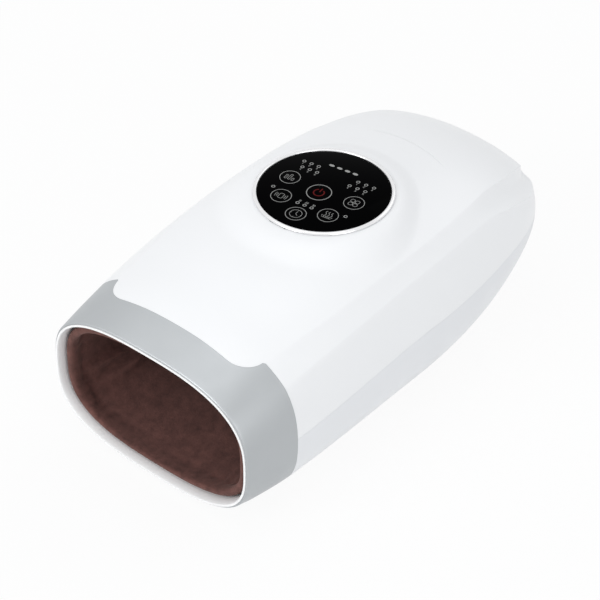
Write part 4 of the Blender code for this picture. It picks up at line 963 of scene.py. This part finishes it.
def heat_icon(sheet, u, v):
    for offset in (-1.9, 0.0, 1.9):
        sheet.line(wave_path(u + offset, v - 0.4), ICON_LINE)
    tray = [(u - 3.6, v - 1.2), (u + 3.6, v - 1.2), (u + 2.8, v - 2.6), (u - 2.8, v - 2.6)]
    sheet.line(tray, ICON_LINE, True)
    for offset in (-1.8, -0.6, 0.6, 1.8):
        sheet.line([(u + offset - 0.3, v - 1.3), (u + offset + 0.3, v - 2.5)], 0.22)


def mode_icon(sheet, u, v):
    for side_v in (1, -1):
        for side_u in (-1, 1):
            sheet.line(rounded_box(u + 1.5 * side_u, v + 1.5 * side_v, 2.6, 2.6, 1.0), ICON_LINE, True)
    sheet.line([(u - 1.5, v), (u + 1.5, v)], ICON_LINE)


KEYS = (
    (bars_icon, -23.4, 0.5),
    (shake_icon, -18.2, -17.2),
    (clock_icon, -2.0, -27.0),
    (heat_icon, 14.2, -18.6),
    (mode_icon, 20.6, -0.8),
)
LAMP_ROWS = (
    # places of a row's three lamps, its height on the face, and the first lamp's figure
    ((-24.8, -19.9, -14.9), 18.1, 1),
    ((-22.7, -17.7, -12.7), 12.7, 4),
    ((12.3, 17.6, 22.9), 17.4, 1),
    ((9.9, 15.2, 20.5), 11.8, 4),
)


def make_icons():
    sheet = Print()
    for _, u, v in KEYS:
        sheet.line(ring_path(u, v, KEY_RADIUS), KEY_LINE, True)
    for icon, u, v in KEYS:
        icon(sheet, u, v)
    sheet.line(ring_path(-1.5, -3.0, 7.2, steps=56), 0.5, True)
    sheet.finish("panel_icons", print_look)


def make_lamps():
    sheet = Print()

    def lamp(u, v):
        sheet.line(ring_path(u, v, LAMP_RADIUS, steps=20), LAMP_LINE, True)

    for row, v, first in LAMP_ROWS:
        for figure, u in enumerate(row, first):
            lamp(u, v)
            digits(sheet, str(figure), u - 0.3, v - 3.0)
    for u, figures in ((-6.7, "10"), (-2.0, "20"), (2.7, "30")):
        lamp(u, -17.7)
        digits(sheet, figures, u - 0.8, -15.9)
    for u, v in ((-26.8, -12.1), (23.2, -14.2)):
        lamp(u, v)
    for u in (-9.0, -3.7, 1.6, 6.9):
        sheet.patch(ring_path(u, 23.0, 1.75, 0.55, steps=28))
    sheet.finish("panel_lamps", led_look)


def make_power_mark():
    sheet = Print()
    sheet.line(ring_path(-1.5, -3.2, 3.1, 1.0, 120, 420), POWER_LINE)
    sheet.line([(-1.5, -2.6), (-1.5, 1.0)], POWER_LINE)
    sheet.finish("panel_power_mark", red_look)


# Lining


def pocket_share(y):
    return ease(between(y, MOUTH + RIM_SLEEVE_DEPTH, POCKET_FULL))


def pocket_centre(y):
    return mix(OPENING_CENTRE, POCKET_CENTRE, pocket_share(y))


def pocket_reach(y, inset):
    growth = POCKET_WALL - POCKET_TUCK
    width = mix(OPENING[0] + growth, POCKET_HALF_WIDTH, pocket_share(y))
    height = mix(OPENING[1] + growth, POCKET_HALF_HEIGHT, pocket_share(y))
    travelled = np.clip(between(y, POCKET_END - POCKET_ROUNDING, POCKET_END - inset), 0, 1)
    end = np.maximum(1 - travelled**POCKET_END_POWER, 0) ** (1 / POCKET_END_POWER)
    return (width - inset) * end, (height - inset) * end


def lining_point(y, angle, inset):
    clear = POCKET_WALL + GAP + inset
    upper_room = CELL + GAP
    lower_room = CELL + HEATER + 2 * GAP
    half_width, half_height = pocket_reach(y, clear)
    straight = pocket_reach(np.minimum(y, POCKET_END - POCKET_ROUNDING), clear)[1]
    room = ease(between(y, MOUTH + LINING_DIP_START, MOUTH + LINING_DIP_END)) * half_height / straight
    half_height = half_height - room * (upper_room + lower_room) / 2
    centre = pocket_centre(y) + room * (lower_room - upper_room) / 2
    return oval_point(y, angle, half_width, half_height, centre)


PILE = 0.0004
HEM_ROUND = 0.003
HEM_POWER = 0.6
HEM_SETBACK = 0.0004
HEM_PUFF = 0.0005
HEM_HEIGHT = 0.0017
HEM_PLACE = 0.0075
HEM_WIDTH = 0.0040
STITCH_DEPTH = 0.0013
STITCH_PLACE = 0.0150
STITCH_WANDER = 0.0006
STITCH_WIDTH = 0.0022
PUCKER_HEIGHT = 0.0004
PUCKER_PLACE = 0.0160
PUCKER_WIDTH = 0.0050
PLEAT_GAIN = 1.8
PLEAT_LEAD = 0.016
FOLD_START = 0.012
FOLD_FULL = 0.050
LONG_FOLD = 0.0009
CROSS_FOLD = 0.0006
PLEATS = (
    # angle, width in radians, height, turn per metre of depth, depth where it starts
    (3.30, 0.10, 0.0019, 4.0, 0.012),
    (2.93, 0.08, 0.0017, -3.0, 0.016),
    (2.62, 0.10, 0.0022, 5.0, 0.014),
    (2.30, 0.09, 0.0018, -4.0, 0.020),
    (3.62, 0.11, 0.0017, 3.0, 0.020),
    (3.95, 0.12, 0.0015, -5.0, 0.030),
    (4.45, 0.16, 0.0013, 3.0, 0.035),
    (5.05, 0.14, 0.0014, -3.0, 0.028),
    (5.55, 0.10, 0.0017, 4.0, 0.018),
    (6.10, 0.09, 0.0018, -3.0, 0.014),
    (0.35, 0.10, 0.0017, 4.0, 0.018),
    (0.80, 0.09, 0.0018, -4.0, 0.020),
    (1.45, 0.14, 0.0014, 3.0, 0.030),
)


def bell(off, width):
    return np.exp(-((off / width) ** 2))


def wrinkle(y, angle):
    """How far the pile stands in from its even face: the stuffed hem, its seam, pleats and folds."""
    depth = y - MOUTH
    fullness = 1 + 0.20 * np.sin(7 * angle + 1.0) * np.cos(3 * angle)
    hem = HEM_HEIGHT * bell(depth - HEM_PLACE, HEM_WIDTH) * fullness
    stitch = bell(depth - STITCH_PLACE - STITCH_WANDER * np.sin(9 * angle), STITCH_WIDTH)
    gather = np.sin(46 * angle + 2 * np.sin(5 * angle))
    puckers = PUCKER_HEIGHT * gather * bell(depth - PUCKER_PLACE, PUCKER_WIDTH)
    total = (hem - STITCH_DEPTH * stitch + puckers) * (0.25 + 0.75 * np.abs(np.cos(angle)))
    for place, width, height, turn, start in PLEATS:
        off = (angle - place - turn * depth + math.pi) % (2 * math.pi) - math.pi
        lead = ease(between(depth, start, start + PLEAT_LEAD))
        total = total + PLEAT_GAIN * height * bell(off, width) * lead
    deep = ease(between(depth, FOLD_START, FOLD_FULL))
    long_folds = np.sin(5 * angle + 26 * y + 1.3 * np.sin(31 * y)) * np.sin(47 * y + 2.1 * np.cos(3 * angle))
    cross_turn = 9 * angle - 40 * y + 2.0 * np.sin(2 * angle)
    cross_folds = np.sin(cross_turn) * np.cos(83 * y + 1.7 * np.sin(4 * angle))
    return total + deep * (LONG_FOLD * long_folds + CROSS_FOLD * cross_folds)


def make_lining():
    """The padded sleeve: a puffed hem at the mouth, then folds, drawn in behind it by the air cells."""
    front = MOUTH + RIM_FUNNEL_DEPTH + GAP
    end = POCKET_END - POCKET_WALL - GAP
    first_row = front + HEM_ROUND + HEM_SETBACK
    angles = np.linspace(0, 2 * math.pi, OVAL_FACETS, endpoint=False)
    outer_y, outer_a = np.meshgrid(crowded(first_row, end, 80, 1.6), angles, indexing="ij")
    inner_rows = crowded(first_row, end - LINING_THICKNESS, 170, 1.9)
    inner_y, inner_a = np.meshgrid(inner_rows, angles, indexing="ij")
    outer = lining_point(outer_y, outer_a, 0)
    inner = lining_point(inner_y, inner_a, LINING_THICKNESS + wrinkle(inner_y, inner_a) + PILE)
    inner[-1] = inner[-1].mean(axis=0)
    hem = []
    for turn in np.linspace(0, math.pi, 13)[1:-1]:
        y = front + HEM_ROUND * (1 - math.sin(turn) ** HEM_POWER) + HEM_SETBACK
        inset = LINING_THICKNESS * (1 - math.cos(turn)) / 2 + HEM_PUFF * math.sin(turn)
        stand = inset / LINING_THICKNESS * (PILE + wrinkle(y, angles))
        hem.append(lining_point(y + 0 * angles, angles, inset + stand))
    loops = np.concatenate([outer[::-1], np.array(hem), inner])
    faces = grid_faces(len(loops), OVAL_FACETS, False, True)
    lining = from_points("lining_pad", loops.reshape(-1, 3), faces, lining_look, sharp=180)
    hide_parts("hand_lining")
    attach(lining, "housing")


# Air cells and heating pad

WELD_SHARE = 0.93
WELD_THINNING = 0.6
FILM_SHARE = 0.03
FILL_SHARE = 0.45
SPOTS_ACROSS = (-0.5, 0.0, 0.5)
SPOTS_ALONG = (-0.38, 0.38)
SPOT_WIDTH = 0.16
SPOT_LENGTH = 0.11
SPOT_DEPTH = 0.62
CHANNELS = 9


def pocket_point(y, angle, inset):
    return oval_point(y, angle, *pocket_reach(y, inset), pocket_centre(y))


def make_air_cell(name, node, upward):
    """A welded pouch, part filled: a flat weld round its edge, six spot welds and its spigot at the back."""
    side = 1 if upward else -1
    clearance = GAP if upward else HEATER + 2 * GAP
    across, along = np.meshgrid(np.linspace(-1, 1, 81), np.linspace(-1, 1, 101))
    y = mix(CELL_FRONT, CELL_REAR, (along + 1) / 2)
    angle = side * (QUARTER - CELL_SPREAD * across)
    far = pocket_point(y, angle, POCKET_WALL + GAP)
    near = lining_point(y, angle, -clearance)
    edge = np.maximum(np.abs(across), np.abs(along))
    room = 1 - WELD_THINNING * edge**4
    swell = np.sqrt(np.clip(1 - (edge / WELD_SHARE) ** 6, 0, 1))
    for spot_across in SPOTS_ACROSS:
        for spot_along in SPOTS_ALONG:
            spot = bell(across - spot_across, SPOT_WIDTH) * bell(along - spot_along, SPOT_LENGTH)
            swell = swell * (1 - SPOT_DEPTH * spot)
    puckers = 1 + 0.04 * np.sin(34 * across + 9 * along) * np.sin(31 * along)
    middle = 0.5 * room
    half = room * (FILM_SHARE + FILL_SHARE * swell * puckers)
    sheets = (mix(far, near, (middle - half)[..., None]), mix(far, near, (middle + half)[..., None]))
    cell = between_sheets(name, *sheets, film_look)
    lean = np.linspace(side * 0.2, side * (math.pi - 0.2), 721)
    wall = pocket_point(CELL_REAR, lean, POCKET_WALL)
    height = np.interp(SPIGOT_PLACE, wall[::-1, 0], wall[::-1, 2]) - side * (GAP + CELL / 2)
    start = CELL_REAR - SPIGOT_ROOT
    place = Matrix.Translation((SPIGOT_PLACE, (start + SPIGOT_END) / 2, height))
    form = bmesh.new()
    form.from_mesh(cell.data)
    bmesh.ops.create_cone(
        form,
        cap_ends=True,
        segments=32,
        radius1=SPIGOT_RADIUS,
        radius2=SPIGOT_RADIUS,
        depth=SPIGOT_END - start,
        matrix=place @ Matrix.Rotation(QUARTER, 4, "X"),
    )
    form.to_mesh(cell.data)
    form.free()
    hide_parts(node)
    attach(cell, "housing")


def make_heating_pad():
    """A quilted pad: the element's channels are stitched across it, between the lower cell and the lining."""
    across, along = np.meshgrid(np.linspace(-1, 1, 121), np.linspace(-1, 1, 141))
    y = mix(CELL_FRONT, CELL_REAR, (along + 1) / 2)
    angle = -QUARTER + HEATER_SPREAD * across
    edge = np.clip(between(np.maximum(np.abs(across), np.abs(along)), 1, 0.94), 0, 1)
    channels = 0.55 + 0.45 * np.abs(np.sin(CHANNELS * math.pi * along)) ** 0.5
    half = 0.5 * HEATER * (0.35 + 0.65 * edge) * channels
    middle = -GAP - HEATER / 2
    sheets = (lining_point(y, angle, middle - half), lining_point(y, angle, middle + half))
    pad = between_sheets("heating_mat", *sheets, heater_look)
    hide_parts("heating_pad")
    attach(pad, "housing")


make_shells()
make_collar()
make_rim()
make_panel()
make_icons()
make_lamps()
make_power_mark()
make_lining()
make_air_cell("upper_pouch", "upper_air_cell", True)
make_air_cell("lower_pouch", "lower_air_cell", False)
make_heating_pad()


# Stage, light and camera

FLOOR_REACH = 6.0
FLOOR_DROP = 0.0001
CAMERA_AZIMUTH = math.radians(40.96)
CAMERA_ELEVATION = math.radians(39.17)
CAMERA_TARGET = Vector((0, -0.02117, 0.05271))
CAMERA_DISTANCE = 1.5650
CAMERA_LENS = 160.894
LIGHT_TARGET = (0, 0, 0.06)


def seen_directly(tree, paths):
    """1 for rays that the camera, metal or glass sees the background by, and 0 for those that light."""
    total = paths.outputs["Is Camera Ray"]
    for name in ("Is Glossy Ray", "Is Transmission Ray"):
        larger = tree.nodes.new("ShaderNodeMath")
        larger.operation = "MAXIMUM"
        tree.links.new(total, larger.inputs[0])
        tree.links.new(paths.outputs[name], larger.inputs[1])
        total = larger.outputs[0]
    return total


def make_stage():
    mesh = bpy.data.meshes.new("floor")
    corners = [(FLOOR_REACH * side_x, FLOOR_REACH * side_y, 0) for side_x, side_y in CORNERS]
    mesh.from_pydata(corners, [], [(0, 1, 2, 3)])
    floor_look = look("floor_white", (0.90, 0.90, 0.90), 0.9)
    tree = floor_look.node_tree
    shader = shader_of(floor_look)
    glow = add(floor_look, "ShaderNodeEmission", Color=(1, 1, 1, 1), Strength=1.0)
    paths = add(floor_look, "ShaderNodeLightPath")
    blend = add(floor_look, "ShaderNodeMixShader")
    seen = add(floor_look, "ShaderNodeMath", operation="MULTIPLY")
    link(floor_look, seen_directly(tree, paths), seen.inputs[0])
    seen.inputs[1].default_value = 0.92
    link(floor_look, seen.outputs[0], blend.inputs["Fac"])
    link(floor_look, shader.outputs["BSDF"], blend.inputs[1])
    link(floor_look, glow.outputs["Emission"], blend.inputs[2])
    link(floor_look, blend.outputs["Shader"], tree.nodes["Material Output"].inputs["Surface"])
    floor = new_object("floor", mesh, floor_look)
    floor.location.z = min(cad_box[0][2], 0) - FLOOR_DROP


def make_world():
    world = bpy.data.worlds.new("studio")
    bpy.context.scene.world = world
    world.use_nodes = True
    tree = world.node_tree
    tree.nodes.clear()
    out = tree.nodes.new("ShaderNodeOutputWorld")
    seen = tree.nodes.new("ShaderNodeBackground")
    seen.inputs["Color"].default_value = (1, 1, 1, 1)
    seen.inputs["Strength"].default_value = 1.0
    lit = tree.nodes.new("ShaderNodeBackground")
    lit.inputs["Color"].default_value = (0.96, 0.98, 1.0, 1)
    lit.inputs["Strength"].default_value = 0.60
    paths = tree.nodes.new("ShaderNodeLightPath")
    blend = tree.nodes.new("ShaderNodeMixShader")
    tree.links.new(seen_directly(tree, paths), blend.inputs["Fac"])
    tree.links.new(lit.outputs["Background"], blend.inputs[1])
    tree.links.new(seen.outputs["Background"], blend.inputs[2])
    tree.links.new(blend.outputs["Shader"], out.inputs["Surface"])


def softbox(name, place, target, width, height, power):
    light = bpy.data.lights.new(name, "AREA")
    light.shape = "RECTANGLE"
    light.size = width
    light.size_y = height
    light.energy = power
    made = bpy.data.objects.new(name, light)
    bpy.context.scene.collection.objects.link(made)
    made.location = place
    made.rotation_euler = (Vector(target) - Vector(place)).to_track_quat("-Z", "Y").to_euler()


def make_camera():
    back = Vector((
        math.sin(CAMERA_AZIMUTH) * math.cos(CAMERA_ELEVATION),
        -math.cos(CAMERA_AZIMUTH) * math.cos(CAMERA_ELEVATION),
        math.sin(CAMERA_ELEVATION),
    ))
    data = bpy.data.cameras.new("camera")
    data.lens = CAMERA_LENS
    data.sensor_width = 36
    data.clip_start = 0.05
    camera = bpy.data.objects.new("camera", data)
    bpy.context.scene.collection.objects.link(camera)
    camera.location = CAMERA_TARGET + back * CAMERA_DISTANCE
    camera.rotation_euler = (-back).to_track_quat("-Z", "Y").to_euler()
    bpy.context.scene.camera = camera


make_stage()
make_world()
softbox("top", (-0.25, -0.2, 1.85), LIGHT_TARGET, 1.6, 1.6, 5.2)
softbox("key", (-0.50, -2.30, 1.40), LIGHT_TARGET, 1.4, 1.1, 22.8)
softbox("rear", (0.2, 1.5, 1.3), LIGHT_TARGET, 1.4, 0.8, 2.4)
softbox("side", (1.5, -0.6, 0.7), (0, 0, 0.05), 1.0, 0.9, 4.5)
make_camera()
bpy.context.scene.view_settings.view_transform = "Standard"
